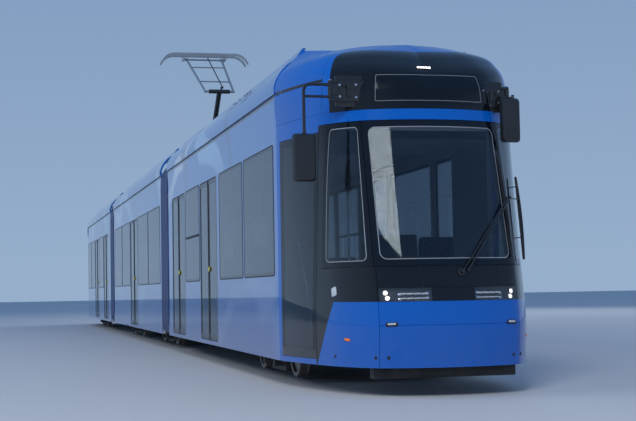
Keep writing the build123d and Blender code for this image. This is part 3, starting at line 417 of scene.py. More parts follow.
def planLines(heights):
    # parabola for the bow, two bulged chords for the corner and the flank, then a moving mean along the line
    h = np.asarray(heights, float) - nose["railTop"]
    table = np.array(nose["levels"])
    spread = np.linspace(-0.02, 0.02, 5)
    tip, bow, corner, bowHalf, cornerHalf = (
        np.mean([np.interp(h + d, table[:, 0], table[:, k]) for d in spread], 0)[:, None] for k in range(1, 6)
    )
    t = np.linspace(0, 1, 80)[None, :]

    def bulged(x0, y0, x1, y1, sagitta):
        dx, dy = x1 - x0, y1 - y0
        size = np.hypot(dx, dy)
        swell = 4 * sagitta * t * (1 - t)
        return x0 + dx * t + swell * dy / size, y0 + dy * t - swell * dx / size

    end = np.full_like(tip, nose["half"])
    parts = [(-(tip + (bow - tip) * t ** 2), bowHalf * t),
             bulged(-bow, bowHalf, -corner, cornerHalf, nose["cornerBulge"]),
             bulged(-corner, cornerHalf, 0 * end - nose["length"], end, nose["flankBulge"])]
    x = np.concatenate([p[0] for p in parts], 1)
    y = np.concatenate([p[1] for p in parts], 1)
    far = np.cumsum(np.hypot(np.diff(x, axis=1, prepend=x[:, :1]), np.diff(y, axis=1, prepend=y[:, :1])), 1)
    far += np.arange(far.shape[1]) * 1e-9
    even = far[:, -1:] * np.linspace(0, 1, nose["samples"])[None, :]
    x = np.array([np.interp(e, f, v) for e, f, v in zip(even, far, x)])
    y = np.array([np.interp(e, f, v) for e, f, v in zip(even, far, y)])
    reach = int(nose["softening"] / (even[0, -1] / nose["samples"]))
    window = np.ones(2 * reach + 1) / (2 * reach + 1)

    def soften(v, sign):
        ahead = sign * v[:, reach:0:-1]
        behind = 2 * v[:, -1:] - v[:, -2:-2 - reach:-1]
        long = np.concatenate([ahead, v, behind], 1)
        return np.array([np.convolve(row, window, "valid") for row in long])

    for _ in range(2):
        x, y = soften(x, 1), soften(y, -1)
    far = np.cumsum(np.hypot(np.diff(x, axis=1, prepend=x[:, :1]), np.diff(y, axis=1, prepend=y[:, :1])), 1)
    return far, x, y


def arcAtHalf(plan, y):  # distance along each plan line to where it is y from the middle
    far, _, ys = plan
    wanted = np.broadcast_to(y, len(far))
    return np.array([np.interp(value, row, f) for value, row, f in zip(wanted, ys, far)])


def arcAtSetback(plan, setback):
    far, xs, _ = plan
    wanted = np.broadcast_to(setback, len(far))
    return np.array([np.interp(value, -row, f) for value, row, f in zip(wanted, xs, far)])


# Part of the nose between two heights and two edges, each a function of the plan lines, and each point's arc
def noseGrid(low, high, edgeA, edgeB, rows=12, columns=24, turn=1):
    heights = np.linspace(low, high, rows) if np.isscalar(rows) else np.asarray(rows)
    plan = planLines(heights)
    a, b = edgeA(plan, heights), edgeB(plan, heights)
    arc = a[:, None] + (b - a)[:, None] * np.linspace(0, 1, columns)
    x = np.array([np.interp(np.abs(k), f, v) for k, f, v in zip(arc, plan[0], plan[1])])
    y = np.array([np.interp(np.abs(k), f, v) for k, f, v in zip(arc, plan[0], plan[2])]) * np.sign(arc)
    z = np.repeat(heights[:, None], columns, 1)
    return np.stack([turn * (nose["tip"] + x), y, z], -1), arc


# Edges: at a half width or at a setback, straight between its values at the patch's foot and head
def halfEdge(side, low, high=None, gap=0.0):
    def edge(plan, heights):
        value = np.interp(heights, (heights[0], heights[-1]), (low, low if high is None else high))
        return side * (arcAtHalf(plan, value) + gap)
    return edge


def backEdge(side, low, high=None, gap=0.0):
    def edge(plan, heights):
        value = np.interp(heights, (heights[0], heights[-1]), (low, low if high is None else high))
        return side * (arcAtSetback(plan, value) + gap)
    return edge


# Panel lines pressed into a grid: each is a height and a depth, as a narrow bell
def pressed(grid, lines, width=0.005, flip=False):
    out = gridNormals(grid) * (-1 if flip else 1)
    depth = sum(d * np.exp(-((grid[..., 2] - z) / width) ** 2) for z, d in lines)
    return grid - out * np.asarray(depth)[..., None]


skirt = 0.267
noseSizes = {
    "wall": 0.028,
    "seam": 0.0025,
    "crease": 0.652,
    "bumperTop": 0.866,
    "bandTop": 0.992,
    "shelfTop": 1.188,
    "glassTop": 2.580,
    "bandLow": 2.583,
    "hoodFoot": 2.692,
    "seamHalf": 0.672,
    "screenHalf": (0.682, 0.672),
    "cornerRear": 0.985,
    "doorFront": 1.10,
    "doorRear": 2.0,
    "cabEnd": 2.1,
}

maskLook = {
    "slant": (-0.58, 1.25),
    "doorSetback": (1.115, 1.117),
    "belt": (0.868, 2.5815),
}


def nosePaint():
    # blue with a black mask: black from the lamp band to the glass top, and behind the slanting edge of the
    # corner
    mat, tree, shader = newMaterial("nosePaint")
    x, y, z = axes(tree)
    setback = calc(tree, "SUBTRACT", nose["tip"], calc(tree, "ABSOLUTE", x))
    slope, foot = maskLook["slant"]
    slant = calc(tree, "MULTIPLY_ADD", z, slope, foot)  # setback of the slanting edge at each height
    beforeDoor = rise(tree, setback, *maskLook["doorSetback"], 1.0, 0.0)
    corner = both(tree, rise(tree, calc(tree, "SUBTRACT", setback, slant), -0.001, 0.001), beforeDoor)
    rightSide = rise(tree, y, -0.3, -0.29, 1.0, 0.0)
    front = rise(tree, x, 0.0, 0.1)
    corner = both(tree, corner, both(tree, rightSide, front))
    belt = both(tree, within(tree, z, *maskLook["belt"]), beforeDoor)
    black = either(tree, both(tree, corner, rise(tree, z, 2.55, 2.56, 1.0, 0.0)), belt)
    glossFinish(tree, shader, mixColour(tree, black, paints["blue"], paints["black"]))
    return mat


def frittedGlass(name, tint, halfWidth, halfHeight, border, corner, line=0.0):
    # clear pane, black enamel round its edge, and a pale line where the enamel ends
    mat, tree, shader = newMaterial(name, IOR=1.5)
    u, v, _ = flatMap(tree)
    d = roundedFrame(tree, u, v, halfWidth - border, halfHeight - border, corner)
    enamel = rise(tree, d, -0.0012, 0.0012)
    edge = within(tree, d, -line, 0.0, 0.0008) if line else 0.0
    colour = mixColour(tree, enamel, tint, paints["black"])
    if line:
        colour = mixColour(tree, edge, colour, (0.32, 0.34, 0.36))
    tree.links.new(colour, shader.inputs["Base Color"])
    solid = either(tree, enamel, edge) if line else enamel
    tree.links.new(calc(tree, "SUBTRACT", 1.0, solid), shader.inputs["Transmission Weight"])
    smear = rise(tree, noise(tree, 2.3, 6.0, 0.7), 0.4, 0.8, 0.0, 0.05)
    tree.links.new(calc(tree, "MULTIPLY_ADD", solid, 0.06, smear), shader.inputs["Roughness"])
    return mat


def centredFlat(grid, arc):
    # map in metres about the middle of the pane, its width held to the mean so that the border stays even
    mid = (arc[:, :1] + arc[:, -1:]) / 2
    width = (arc[:, -1:] - arc[:, :1])
    u = (arc - mid) / width * width.mean()
    v = grid[..., 2] - (grid[0, 0, 2] + grid[-1, 0, 2]) / 2
    flat = np.stack([u, v], -1).reshape(-1, 2)
    return np.concatenate([flat, flat]), abs(width.mean()) / 2, (grid[-1, 0, 2] - grid[0, 0, 2]) / 2


bodyPaint = nosePaint()


# Shells of the nose, front or tail (turn is 1 or -1): paint and mask with the gaps between the real panels
def noseShells(turn):
    s, flip, gap = noseSizes, turn < 0, noseSizes["seam"]
    hasDoor = turn > 0
    shapes = []

    def panel(low, high, a, b, rows=12, columns=24, lines=()):
        grid, _ = noseGrid(low, high, a, b, rows, columns, turn)
        if lines:
            grid = pressed(grid, lines, flip=flip)
        shapes.append(shellShape(grid, s["wall"], flip))

    def pair(side, a, b):  # edges in the order that faces the panel outwards
        return (b, a) if side < 0 else (a, b)

    crease = s["crease"]
    lowRows = np.concatenate([np.linspace(skirt, crease - 0.02, 8), crease + np.linspace(-0.012, 0.012, 9),
                              np.linspace(crease + 0.02, s["bumperTop"], 8)])
    seamR, seamL = halfEdge(-1, s["seamHalf"]), halfEdge(1, s["seamHalf"])
    panel(0, 0, seamR, seamL, lowRows, 61, [(crease, 0.006)])
    panel(s["bandTop"] + gap, s["shelfTop"] - gap, seamR, seamL, 14, 61)
    for side in (-1, 1):
        door = hasDoor and side < 0
        flankEnd = s["doorFront"] if door else s["cabEnd"]
        front = halfEdge(side, s["seamHalf"], gap=2 * gap)
        panel(skirt, s["shelfTop"] - gap, *pair(side, front, backEdge(side, flankEnd, gap=-gap)), 24, 36)
        pillarRows = (s["shelfTop"], s["glassTop"])
        cornerBack = backEdge(side, s["cornerRear"], gap=gap)
        panel(*pillarRows, *pair(side, cornerBack, backEdge(side, s["doorFront"], gap=-gap)), 30, 5)
        # rear pillar, head and sill of the flank's door or window
        rear = pair(side, backEdge(side, s["doorRear"]), backEdge(side, s["cabEnd"]))
        front = backEdge(side, s["doorFront"], gap=gap if door else -gap)
        foot = skirt if door else s["shelfTop"] - gap
        panel(foot, s["bandLow"], *rear, 30, 5)
        panel(flankHead, s["bandLow"], *pair(side, front, backEdge(side, s["doorRear"])), 3, 20)
        if door:
            panel(skirt, doorLow, *pair(side, front, backEdge(side, s["doorRear"])), 4, 20)
    panel(s["bandLow"], s["hoodFoot"] - gap, backEdge(-1, s["cabEnd"]), backEdge(1, s["cabEnd"]), 8, 140)
    return joined(shapes)


def noseLining(turn):  # dull inner skin that closes the panel gaps and shows through the glass
    s, flip = noseSizes, turn < 0
    shapes = []

    def skin(low, high, a, b, rows, columns):
        grid, _ = noseGrid(low, high, a, b, rows, columns, turn)
        shapes.append(shellShape(grid, 0.045, flip, proud=-0.030))

    for side in (-1, 1):
        inner, outer = ([h + shift for h in s["screenHalf"]] for shift in (-0.03, 0.04))
        pairs = [(halfEdge(side, *inner), halfEdge(side, *outer)),
                 (backEdge(side, s["cornerRear"] + 0.012), backEdge(side, s["doorFront"] - 0.004))]
        for ends in pairs:
            skin(s["shelfTop"] - 0.03, s["glassTop"] + 0.02, *ends[::side], 24, 6)
    for low, high in ((skirt + 0.02, s["shelfTop"] - 0.02), (s["glassTop"] - 0.03, s["hoodFoot"] + 0.05)):
        skin(low, high, backEdge(-1, 1.06), backEdge(1, 1.06), 20, 100)
    return joined(shapes)


flankHead = float(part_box("front_doors")[1].z)
doorLow = float(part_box("front_doors")[0].z)
noseLook = {
    "windscreenTint": (0.42, 0.50, 0.56),
    "sideTint": (0.16, 0.19, 0.22),
    "paneThickness": 0.009,
    "screenBorder": 0.062,
    "cornerBorder": 0.052,
    "lineWidth": 0.007,
}
lining = plainFinish("cabLining", (0.045, 0.05, 0.058), 0.6, dust=0.0)


def curvedPane(name, grid, arc, turn, body, tint, border, corner, replaced=(), line=0.0):
    flat, halfWidth, halfHeight = centredFlat(grid, arc)
    mat = frittedGlass(name + "Glass", tint, halfWidth, halfHeight, border, corner, line)
    shape = shellShape(grid, noseLook["paneThickness"], turn < 0)
    addPiece(name, shape, body, mat, replaced, flat)


def nosePanes(turn, body, screenNode):
    s, look, gap = noseSizes, noseLook, noseSizes["seam"]
    label = "cab" if turn > 0 else "tail"
    a, b = halfEdge(-1, *s["screenHalf"]), halfEdge(1, *s["screenHalf"])
    low, high = s["shelfTop"] + gap, s["glassTop"] - gap
    grid, arc = noseGrid(low, high, a, b, 40, 60, turn)
    curvedPane(label + "Windscreen", grid, arc, turn, body, look["windscreenTint"], look["screenBorder"],
               0.07, (screenNode,), look["lineWidth"])
    for side, word in ((-1, "Right"), (1, "Left")):
        front, rear = halfEdge(side, *s["screenHalf"], gap=2.5 * gap), backEdge(side, s["cornerRear"])
        grid, arc = noseGrid(low, high, *(front, rear)[::side], 40, 20, turn)
        curvedPane(label + word + "CornerPane", grid, arc, turn, body, look["windscreenTint"],
                   look["cornerBorder"], 0.05, (), look["lineWidth"])
        if turn > 0 and side < 0:
            continue
        ends = (backEdge(side, s["doorFront"], gap=gap), backEdge(side, s["doorRear"], gap=-gap))
        grid, arc = noseGrid(s["shelfTop"] - 0.002, flankHead - gap, *ends[::side], 24, 24, turn)
        curvedPane(label + word + "FlankPane", grid, arc, turn, body, look["sideTint"], 0.04, 0.05)


# Hood: from the band over the windscreen the surface leans back and rolls over to the crown. Each section
# goes from the plan line at its foot to a point of the crown line. Shares of the way across and up come from
# a table.
hood = {
    "rows": 34,
    "columns": 150,
    # setback, half width and height over the rail of the crown line, against the plan line's own setback
    "crown": [(0.57, 1.350, 0.0, 3.420), (0.72, 1.372, 0.36, 3.408), (0.90, 1.405, 0.60, 3.378),
              (1.20, 1.450, 0.700, 3.362), (1.50, 1.620, 0.790, 3.392), (2.10, 2.100, 0.900, 3.470)],
    # shares across and up at five even steps, in front, at the corner and at the cab's end
    "across": [(0.0, 0.07, 0.20, 0.52, 1.0), (0.0, -0.02, 0.10, 0.42, 1.0), (0.0, -0.06, -0.05, 0.16, 1.0)],
    "up": [(0.0, 0.30, 0.50, 0.79, 1.0), (0.0, 0.34, 0.64, 0.88, 1.0), (0.0, 0.30, 0.52, 0.71, 1.0)],
    "groove": (3.012, 3.034, 0.014),
    # the groove starts at this arc; the black dome's half width, half height and corner; the seam's ring
    "grooveArc": 1.15,
    "dome": (1.045, 0.93, 0.30),
    "rimSeam": (0.100, 0.105),
}


def hoodGrid(turn):
    foot = noseSizes["hoodFoot"]
    plan = planLines([foot])
    far, x, y = (v[0] for v in plan)
    arc = np.linspace(-far[-1], far[-1], hood["columns"])
    xf, yf = np.interp(np.abs(arc), far, x), np.interp(np.abs(arc), far, y)
    crown = np.array(hood["crown"])
    xt, yt, zt = (np.interp(-xf, crown[:, 0], crown[:, k]) for k in (1, 2, 3))
    window = np.ones(9) / 9
    smoothIn = lambda v: np.convolve(np.pad(v, 4, mode="reflect", reflect_type="odd"), window, "valid")
    xt, zt, ytSigned = smoothIn(xt), smoothIn(zt), smoothIn(yt * np.sign(arc))
    stations = (0.0, np.interp(1.20, -x, far), far[-1])
    fine = np.linspace(0, 1, hood["rows"])
    steps = np.linspace(0, 1, 5)

    def shares(table):
        rows = []
        for row in table:  # a smooth curve through the five shares: linear, then a moving mean
            dense = np.interp(np.linspace(-0.12, 1.12, 156), steps, row)
            dense[:15] = dense[15] - (dense[30:15:-1] - dense[15])
            dense[-15:] = dense[-16] + (dense[-16] - dense[-17:-32:-1])
            dense = np.convolve(dense, np.ones(21) / 21, "same")
            found = np.interp(fine, np.linspace(-0.12, 1.12, 156), dense)
            rows.append((found - found[0]) / (found[-1] - found[0]))
        return np.stack([np.interp(np.abs(arc), stations, np.array(rows)[:, k]) for k in range(len(fine))])

    across, up = shares(hood["across"]), shares(hood["up"])
    grid = np.stack([
        turn * (nose["tip"] + xf + across * (-xt - xf)),
        yf * np.sign(arc) + across * (ytSigned - yf * np.sign(arc)),
        foot + up * (zt + nose["railTop"] - foot),
    ], -1)
    climb = np.cumsum(np.linalg.norm(np.diff(grid, axis=0, prepend=grid[:1]), axis=2), 0)
    flat = np.stack([np.repeat(arc[None], hood["rows"], 0), climb], -1)
    return grid, flat


def hoodPaint():
    # black dome in front with round shoulders, blue beyond its rim, and the seam behind the rim
    mat, tree, shader = newMaterial("hoodPaint")
    u, v, _ = flatMap(tree)
    z = axes(tree)[2]
    d = roundedFrame(tree, u, calc(tree, "ADD", v, 0.1), *hood["dome"])
    black = rise(tree, d, -0.001, 0.001, 1.0, 0.0)
    seam = within(tree, d, *hood["rimSeam"])
    colour = mixColour(tree, black, paints["blue"], paints["black"])
    colour = mixColour(tree, seam, colour, (0.0, 0.01, 0.05))
    away = rise(tree, calc(tree, "ABSOLUTE", u), hood["grooveArc"], hood["grooveArc"] + 0.002)
    groove = both(tree, within(tree, z, 3.010, 3.036), away)
    glossFinish(tree, shader, mixColour(tree, groove, colour, paints["black"]))
    return mat


def buildNose(turn, body, names):
    base, mask, hoodNode, screen = names
    label = "cab" if turn > 0 else "tail"
    addPiece(label + "Shell", noseShells(turn), body, bodyPaint, (base, mask))
    addPiece(label + "Lining", noseLining(turn), body, lining, ())
    nosePanes(turn, body, screen)
    grid, flat = hoodGrid(turn)
    low, high, depth = hood["groove"]
    away = np.clip((np.abs(flat[..., 0]) - hood["grooveArc"]) / 0.03, 0, 1)
    inGroove = ((grid[..., 2] > low - 0.002) & (grid[..., 2] < high + 0.002)) * away * depth
    grid = grid - gridNormals(grid) * (turn * inGroove)[..., None]
    shape = shellShape(grid, 0.02, turn < 0)
    flat = flat.reshape(-1, 2)
    addPiece(label + "Hood", shape, body, hoodFinish, (hoodNode,), np.concatenate([flat, flat]))


hoodFinish = hoodPaint()
buildNose(1, "front_car", ("cab_base", "cab_mask", "cab_hood", "windscreen"))
buildNose(-1, "rear_car", ("tail_base", "tail_mask", "tail_hood", "rear_windscreen"))
print("stage: nose and tail")


# Car sides. The film is blue all over, lighter above the windows, with a generic design of soft broad
# ribbons: each ribbon is the band where a sloping wave lies close to nought.
film = {
    "outer": 1.19,
    "ribbons": [(0.55, 0.9, 0.20, 0.3, "paleBlue"), (0.32, -0.7, 0.13, 1.9, "filmWhite"),
                (0.80, 0.5, 0.16, 4.0, "deepBlue")],
    "seams": (0.566, 0.572),
}


def filmColour(tree, low=1.05, high=2.5):
    x, y, z = axes(tree)
    shade = mixColour(tree, rise(tree, z, low, high), paints["sideBlue"], paints["filmBlue"])
    sway = calc(tree, "MULTIPLY", noise(tree, 0.35, 1.0), 2.4)
    for step, slope, half, start, tone in film["ribbons"]:
        slant = calc(tree, "MULTIPLY", z, slope)
        wave = calc(tree, "ADD", calc(tree, "MULTIPLY_ADD", x, step, start), slant)
        swing = calc(tree, "SINE", calc(tree, "ADD", wave, sway))
        band = rise(tree, calc(tree, "ABSOLUTE", swing), half - 0.03, half + 0.03, 1.0, 0.0)
        band = both(tree, band, rise(tree, z, 2.2, 2.9, 0.10, 0.75))
        shade = mixColour(tree, band, shade, paints[tone])
    return shade, (x, y, z)


def nearCabs(tree, x, start):  # the plain stretch of the sides by both cabs
    return either(tree, rise(tree, x, start, start + 0.01), rise(tree, x, -start, -start - 0.01))


def wallFinish(cabEnd):
    # film outside, light lining inside; solid blue by the cab, dark edges round every opening
    mat, tree, shader = newMaterial("wallFilm")
    shade, (x, y, z) = filmColour(tree)
    shade = mixColour(tree, nearCabs(tree, x, cabEnd - 0.14), shade, paints["blue"])
    side = calc(tree, "ABSOLUTE", y)
    outer = rise(tree, side, film["outer"], film["outer"] + 0.001)
    inner = rise(tree, side, 1.10, 1.102)
    edge = both(tree, inner, rise(tree, side, 1.186, 1.187))
    lined = mixColour(tree, edge, paints["lining"], paints["black"])
    seam = both(tree, within(tree, z, *film["seams"], 0.001), outer)
    cornice = both(tree, rise(tree, z, 2.985, 2.987), outer)
    shade = mixColour(tree, seam, shade, (0.0, 0.02, 0.10))
    shade = mixColour(tree, cornice, shade, paints["black"])
    glossFinish(tree, shader, mixColour(tree, outer, lined, shade))
    tree.links.new(outer, shader.inputs["Coat Weight"])
    return mat


def roofFinish(cabEnd):
    mat, tree, shader = newMaterial("roofFilm")
    shade, (x, y, z) = filmColour(tree, 2.9, 3.0)
    shade = mixColour(tree, nearCabs(tree, x, cabEnd - 0.10), shade, paints["blue"])
    normal = axes(tree, tree.nodes.new("ShaderNodeNewGeometry").outputs["Normal"])
    side = calc(tree, "ABSOLUTE", y)
    outward = rise(tree, calc(tree, "MULTIPLY", normal[1], calc(tree, "SIGN", y)), -0.25, -0.2)
    fairing = both(tree, both(tree, rise(tree, side, 0.87, 0.88), rise(tree, z, 3.028, 3.03)), outward)
    bay = calc(tree, "FRACT", calc(tree, "MULTIPLY", x, 0.42))
    joint = both(tree, fairing, within(tree, bay, 0.0, 0.004, 0.001))
    stain = rise(tree, noise(tree, 3.0, 6.0), 0.35, 0.7)
    deck = mixColour(tree, stain, (0.17, 0.18, 0.19), (0.24, 0.245, 0.25))
    ceiling = rise(tree, z, 2.75, 2.76)
    base = mixColour(tree, ceiling, paints["lining"], deck)
    edge = both(tree, rise(tree, side, 1.15, 1.16), rise(tree, z, 2.9, 2.91))
    edge = both(tree, edge, rise(tree, z, 3.034, 3.033))
    base = mixColour(tree, edge, base, paints["black"])
    shade = mixColour(tree, joint, shade, (0.0, 0.02, 0.10))
    glossFinish(tree, shader, mixColour(tree, fairing, base, shade), 0.0)
    tree.links.new(calc(tree, "MULTIPLY", fairing, 0.95), shader.inputs["Coat Weight"])
    return mat


pane = {
    "nominal": 2.0,
    "thickness": 0.008,
    "proud": 0.0015,
    "border": 0.034,
    "corner": 0.045,
    "gasket": 0.014,
    "doorBorder": 0.012,
    "frame": 0.058,
    "foot": 0.075,
    "inset": 0.004,
    "tint": (0.30, 0.34, 0.37),
    "hopper": 1.80,
}


# A flat pane in a side wall. Its map is measured from a nominal half size, so that one material's border
# keeps its width on panes of every size: the jump falls between two close columns and rows in the middle.
def sidePane(x0, x1, z0, z1, side, proud=0.0):
    xs = np.array([x0, (x0 + x1) / 2 - 0.005, (x0 + x1) / 2 + 0.005, x1])
    zs = np.array([z0, (z0 + z1) / 2 - 0.005, (z0 + z1) / 2 + 0.005, z1])
    wall = np.full((4, 4), side * (nose["half"] + proud))
    grid = np.stack([np.repeat(xs[None], 4, 0), wall, np.repeat(zs[:, None], 4, 1)], -1)
    reach = lambda v: np.sign(v - v.mean()) * (pane["nominal"] - (v[-1] - v[0]) / 2 + abs(v - v.mean()))
    flat = np.stack(np.meshgrid(reach(xs), reach(zs)), -1).reshape(-1, 2)
    return shellShape(grid, pane["thickness"], flip=side > 0), np.concatenate([flat, flat])


def facing(side):
    return "+y" if side > 0 else "-y"


def buildGlazing(car):
    panes, maps, gaskets = [], [], []
    for low, high in solidBoxes(car + "_glazing"):
        side = 1 if low[1] > 0 else -1
        isFlat = abs(abs(high[1] - low[1]) - 0.012) < 0.002
        isDoor = low[2] < 1.0
        if not isFlat or isDoor:
            continue
        a, b = low + pane["inset"], high - pane["inset"]
        shape, flat = sidePane(a[0], b[0], a[2], b[2], side, pane["proud"])
        panes.append(shape)
        maps.append(flat)
        width, height = high[0] - low[0], high[2] - low[2]
        centre = ((low[0] + high[0]) / 2, side * 1.1985, (low[2] + high[2]) / 2)
        extra = pane["gasket"]
        outer, inner = (width + extra, height + extra), (width - extra, height - extra)
        gaskets.append(ringShape(centre, outer, inner, 0.010, facing(side), 0.05, 0.042, 0.003))
        if 1.4 < width < 1.75 and high[2] > 2.4 and round(low[0] * 2) % 2:
            gaskets.append(blockShape((centre[0], side * nose["half"], pane["hopper"]), width - 0.04, 0.035,
                                      0.010, 0.004, 0.002, facing(side)))
    addPiece(car + "Windows", joined(panes), car + "_car", sideGlass, (car + "_glazing",),
             np.concatenate(maps))
    addPiece(car + "Gaskets", joined(gaskets), car + "_car", rubber, ())


# Door leaves: black frame with a round-cornered hole, a pane in it, and a rubber lip where two leaves meet
def buildDoors(car, boxes):
    frames, panes, maps, lips, buttons = [], [], [], [], []
    side = -1
    leaves = sorted(boxes, key=lambda b: b[0][0])
    for k, (low, high) in enumerate(leaves):
        a, b = low + pane["inset"], high - pane["inset"]
        width, height = b[0] - a[0], b[2] - a[2]
        centre = np.array([(a[0] + b[0]) / 2, side * 1.1835, (a[2] + b[2]) / 2])
        hole = (width - 2 * pane["frame"], height - pane["frame"] - pane["foot"])
        drop = pane["foot"] - pane["frame"]
        holeCentre = centre + np.array([0, 0, drop / 2])
        outer = ringShape(centre, (width, height), (width - 0.03, height - 0.03), 0.034, facing(side), 0.02,
                          0.012, 0.006)
        inner = ringShape(holeCentre, (width - 0.025, height - 0.025 - drop), hole, 0.026, facing(side), 0.02,
                          0.05, 0.004)
        foot = blockShape((centre[0], side * 1.1815, a[2] + pane["foot"] / 2), width - 0.02,
                          pane["foot"] - 0.01, 0.026, 0.006, 0.003, facing(side))
        frames += [outer, inner, foot]
        reachX, reachZ = (size / 2 + 0.012 for size in hole)
        shape, flat = sidePane(holeCentre[0] - reachX, holeCentre[0] + reachX, holeCentre[2] - reachZ,
                               holeCentre[2] + reachZ, side, -0.008)
        panes.append(shape)
        maps.append(flat)
        if k % 2 == 0 and k + 1 < len(leaves):
            lips.append(blockShape((high[0], side * 1.196, centre[2]), 0.030, height - 0.01, 0.016, 0.006,
                                   0.004, facing(side)))
            button = [(0.0, 0), (0.036, 0), (0.036, 0.008 * side), (0.026, 0.014 * side), (0.0, 0.014 * side)]
            buttons.append(turnedShape((high[0] + 0.075, side * nose["half"], 1.29), button, "y"))
    addPiece(car + "DoorLeaves", joined(frames), car + "_car", maskSatin, (car + "_doors",))
    addPiece(car + "DoorGlass", joined(panes), car + "_car", doorGlass, (), np.concatenate(maps))
    addPiece(car + "DoorLips", joined(lips), car + "_car", rubber)
    addPiece(car + "DoorButtons", joined(buttons), car + "_car", buttonYellow)


paints["sideBlue"] = (0.006, 0.075, 0.36)
sideGlass, doorGlass = (
    frittedGlass(name, pane["tint"], pane["nominal"], pane["nominal"], pane[border], pane["corner"])
    for name, border in (("sideGlass", "border"), ("doorGlass", "doorBorder"))
)
rubber = plainFinish("rubber", (0.012, 0.012, 0.013), 0.55, grain=0.25, dust=0.3)
maskSatin = plainFinish("maskSatin", (0.016, 0.017, 0.019), 0.30, coat=0.35, dust=0.25, dustTop=0.7)
buttonYellow = plainFinish("buttonYellow", (0.55, 0.50, 0.02), 0.35, coat=0.4, dust=0.0)


# Gangway bands: a section round the car, from skirt to skirt over the roof edge, carried along in fine folds
gangway = {
    "section": [(1.0, 0.285), (1.178, 0.287), (1.190, 0.50), (1.190, 2.90), (1.178, 3.03), (1.10, 3.18),
                (0.94, 3.28), (0.80, 3.30), (0.0, 3.31)],
    "folds": 22,
    "foldDepth": 0.007,
    "stations": 177,
    "thickness": 0.02,
    "clear": 0.006,
}


def bandSection(points, count):
    # the right half mirrored, each stretch sampled evenly, corners eased by a moving mean
    half = np.array(points)
    whole = np.concatenate([half * (1, 1), half[-2::-1] * (-1, 1)])
    far = np.concatenate([[0], np.cumsum(np.linalg.norm(np.diff(whole, axis=0), axis=1))])
    even = np.linspace(0, far[-1], count)
    line = np.stack([np.interp(even, far, whole[:, k]) for k in (0, 1)], 1)
    padded = np.pad(line, ((2, 2), (0, 0)), mode="reflect", reflect_type="odd")
    return np.stack([np.convolve(padded[:, k], np.ones(5) / 5, "valid") for k in (0, 1)], 1)


def buildGangway(name, node):
    low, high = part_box(node)
    section = bandSection(gangway["section"], 130)
    x = np.linspace(low.x + gangway["clear"], high.x - gangway["clear"], gangway["stations"])
    span = (x - x[0]) / (x[-1] - x[0])
    lean = np.gradient(section, axis=0)
    out = np.stack([lean[:, 1], -lean[:, 0]], 1)
    out /= np.linalg.norm(out, axis=1, keepdims=True)
    # folds: a rectified sine along the band, fading at both ends where the band is clamped
    ends = np.clip(span * 30, 0, 1) * np.clip((1 - span) * 30, 0, 1)
    fold = gangway["foldDepth"] * (np.abs(np.sin(np.pi * gangway["folds"] * span)) - 1) * ends
    ring = section[:, None] + out[:, None] * fold[None, :, None]
    grid = np.concatenate([np.broadcast_to(x[None, :, None], ring.shape[:2] + (1,)), ring], 2)
    band = addPiece(name, shellShape(grid, gangway["thickness"]), None, navy, (node,))
    ends = [(x[0], 0, 1.5), (x[-1], 0, 1.5)]
    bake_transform(band)


navy = plainFinish("gangwayNavy", (0.006, 0.022, 0.115), 0.42, coat=0.25, grain=0.2, dust=0.2, dustTop=0.6)
buildGangway("frontGangway", "front_bellows")
buildGangway("rearGangway", "rear_bellows")

cabX = nose["tip"] - nose["length"]
wallFilm, roofFilm = wallFinish(cabX), roofFinish(cabX)
for car in ("front", "middle", "rear"):
    for node, finish in ((car + "_walls", wallFilm), (car + "_roof", roofFilm)):
        nodes[node].data.materials.clear()
        nodes[node].data.materials.append(finish)
    buildGlazing(car)
    buildDoors(car, [b for b in solidBoxes(car + "_doors") if b[1][1] - b[0][1] < 0.1])
print("stage: sides, windows, doors and gangways")


# Small parts set on the nose: a spot is the point where the surface has a height and a distance along its
# plan line
def noseSpot(z, arc, turn=1, proud=0.0):
    far, x, y = planLines([z - 0.01, z, z + 0.01])
    side = 1.0 if arc >= 0 else -1.0
    at = lambda k, a: np.array([np.interp(abs(a), far[k], x[k]), side * np.interp(abs(a), far[k], y[k])])
    here, step = at(1, arc), at(1, arc + 0.004 * side) - at(1, arc - 0.004 * side)
    point = np.array([turn * (nose["tip"] + here[0]), here[1], z])
    climb = at(2, arc) - at(0, arc)
    along = np.array([turn * step[0], step[1], 0.0])
    up = np.array([turn * climb[0], climb[1], 0.02])
    out = np.cross(along, up)
    out *= np.sign(out[0] * turn) / np.linalg.norm(out)
    up /= np.linalg.norm(up)
    return point + out * proud, out, np.cross(up, out), up


def setAt(shape, spot):  # a shape made about the origin facing +x, turned and moved to the spot
    point, out, across, up = spot
    points, faces = shape
    return points @ np.stack([out, across, up]) + point, faces


def arcOf(z, half=None, setback=None):
    plan = planLines([z])
    return float((arcAtHalf(plan, half) if half is not None else arcAtSetback(plan, setback))[0])


frontLook = {
    "lampHalves": (0.205, 0.668),
    "lampDepth": 0.042,
    "projectors": [(0.615, 0.950), (0.600, 0.902)],
    "projectorRadius": 0.024,
    "strips": [(0.942, 0.014), (0.900, 0.011)],
    "stripEnds": (0.235, 0.500),
    "display": (2.738, 3.062, 0.585),
    "marker": (3.115, 0.07),
    # small parts on the nose by height and half width: crease reflectors, cover seams, bolts and markers
    "creaseHalf": 0.575,
    "coverSeams": ((-1, 0.275), (1, 0.47)),
    "boltHeight": 0.36,
    "boltHalves": (0.70, 0.95, 0.60),
    "sideMarker": (0.52, 0.882),
    "flap": (0.965, 0.745, 0.085),
    # guard beam: setback, height, width, tallness and depth, and the places of its brackets
    "beam": (0.405, 0.215, 1.38, 0.110, 0.14),
    "brackets": (-0.52, 0.0, 0.52),
}


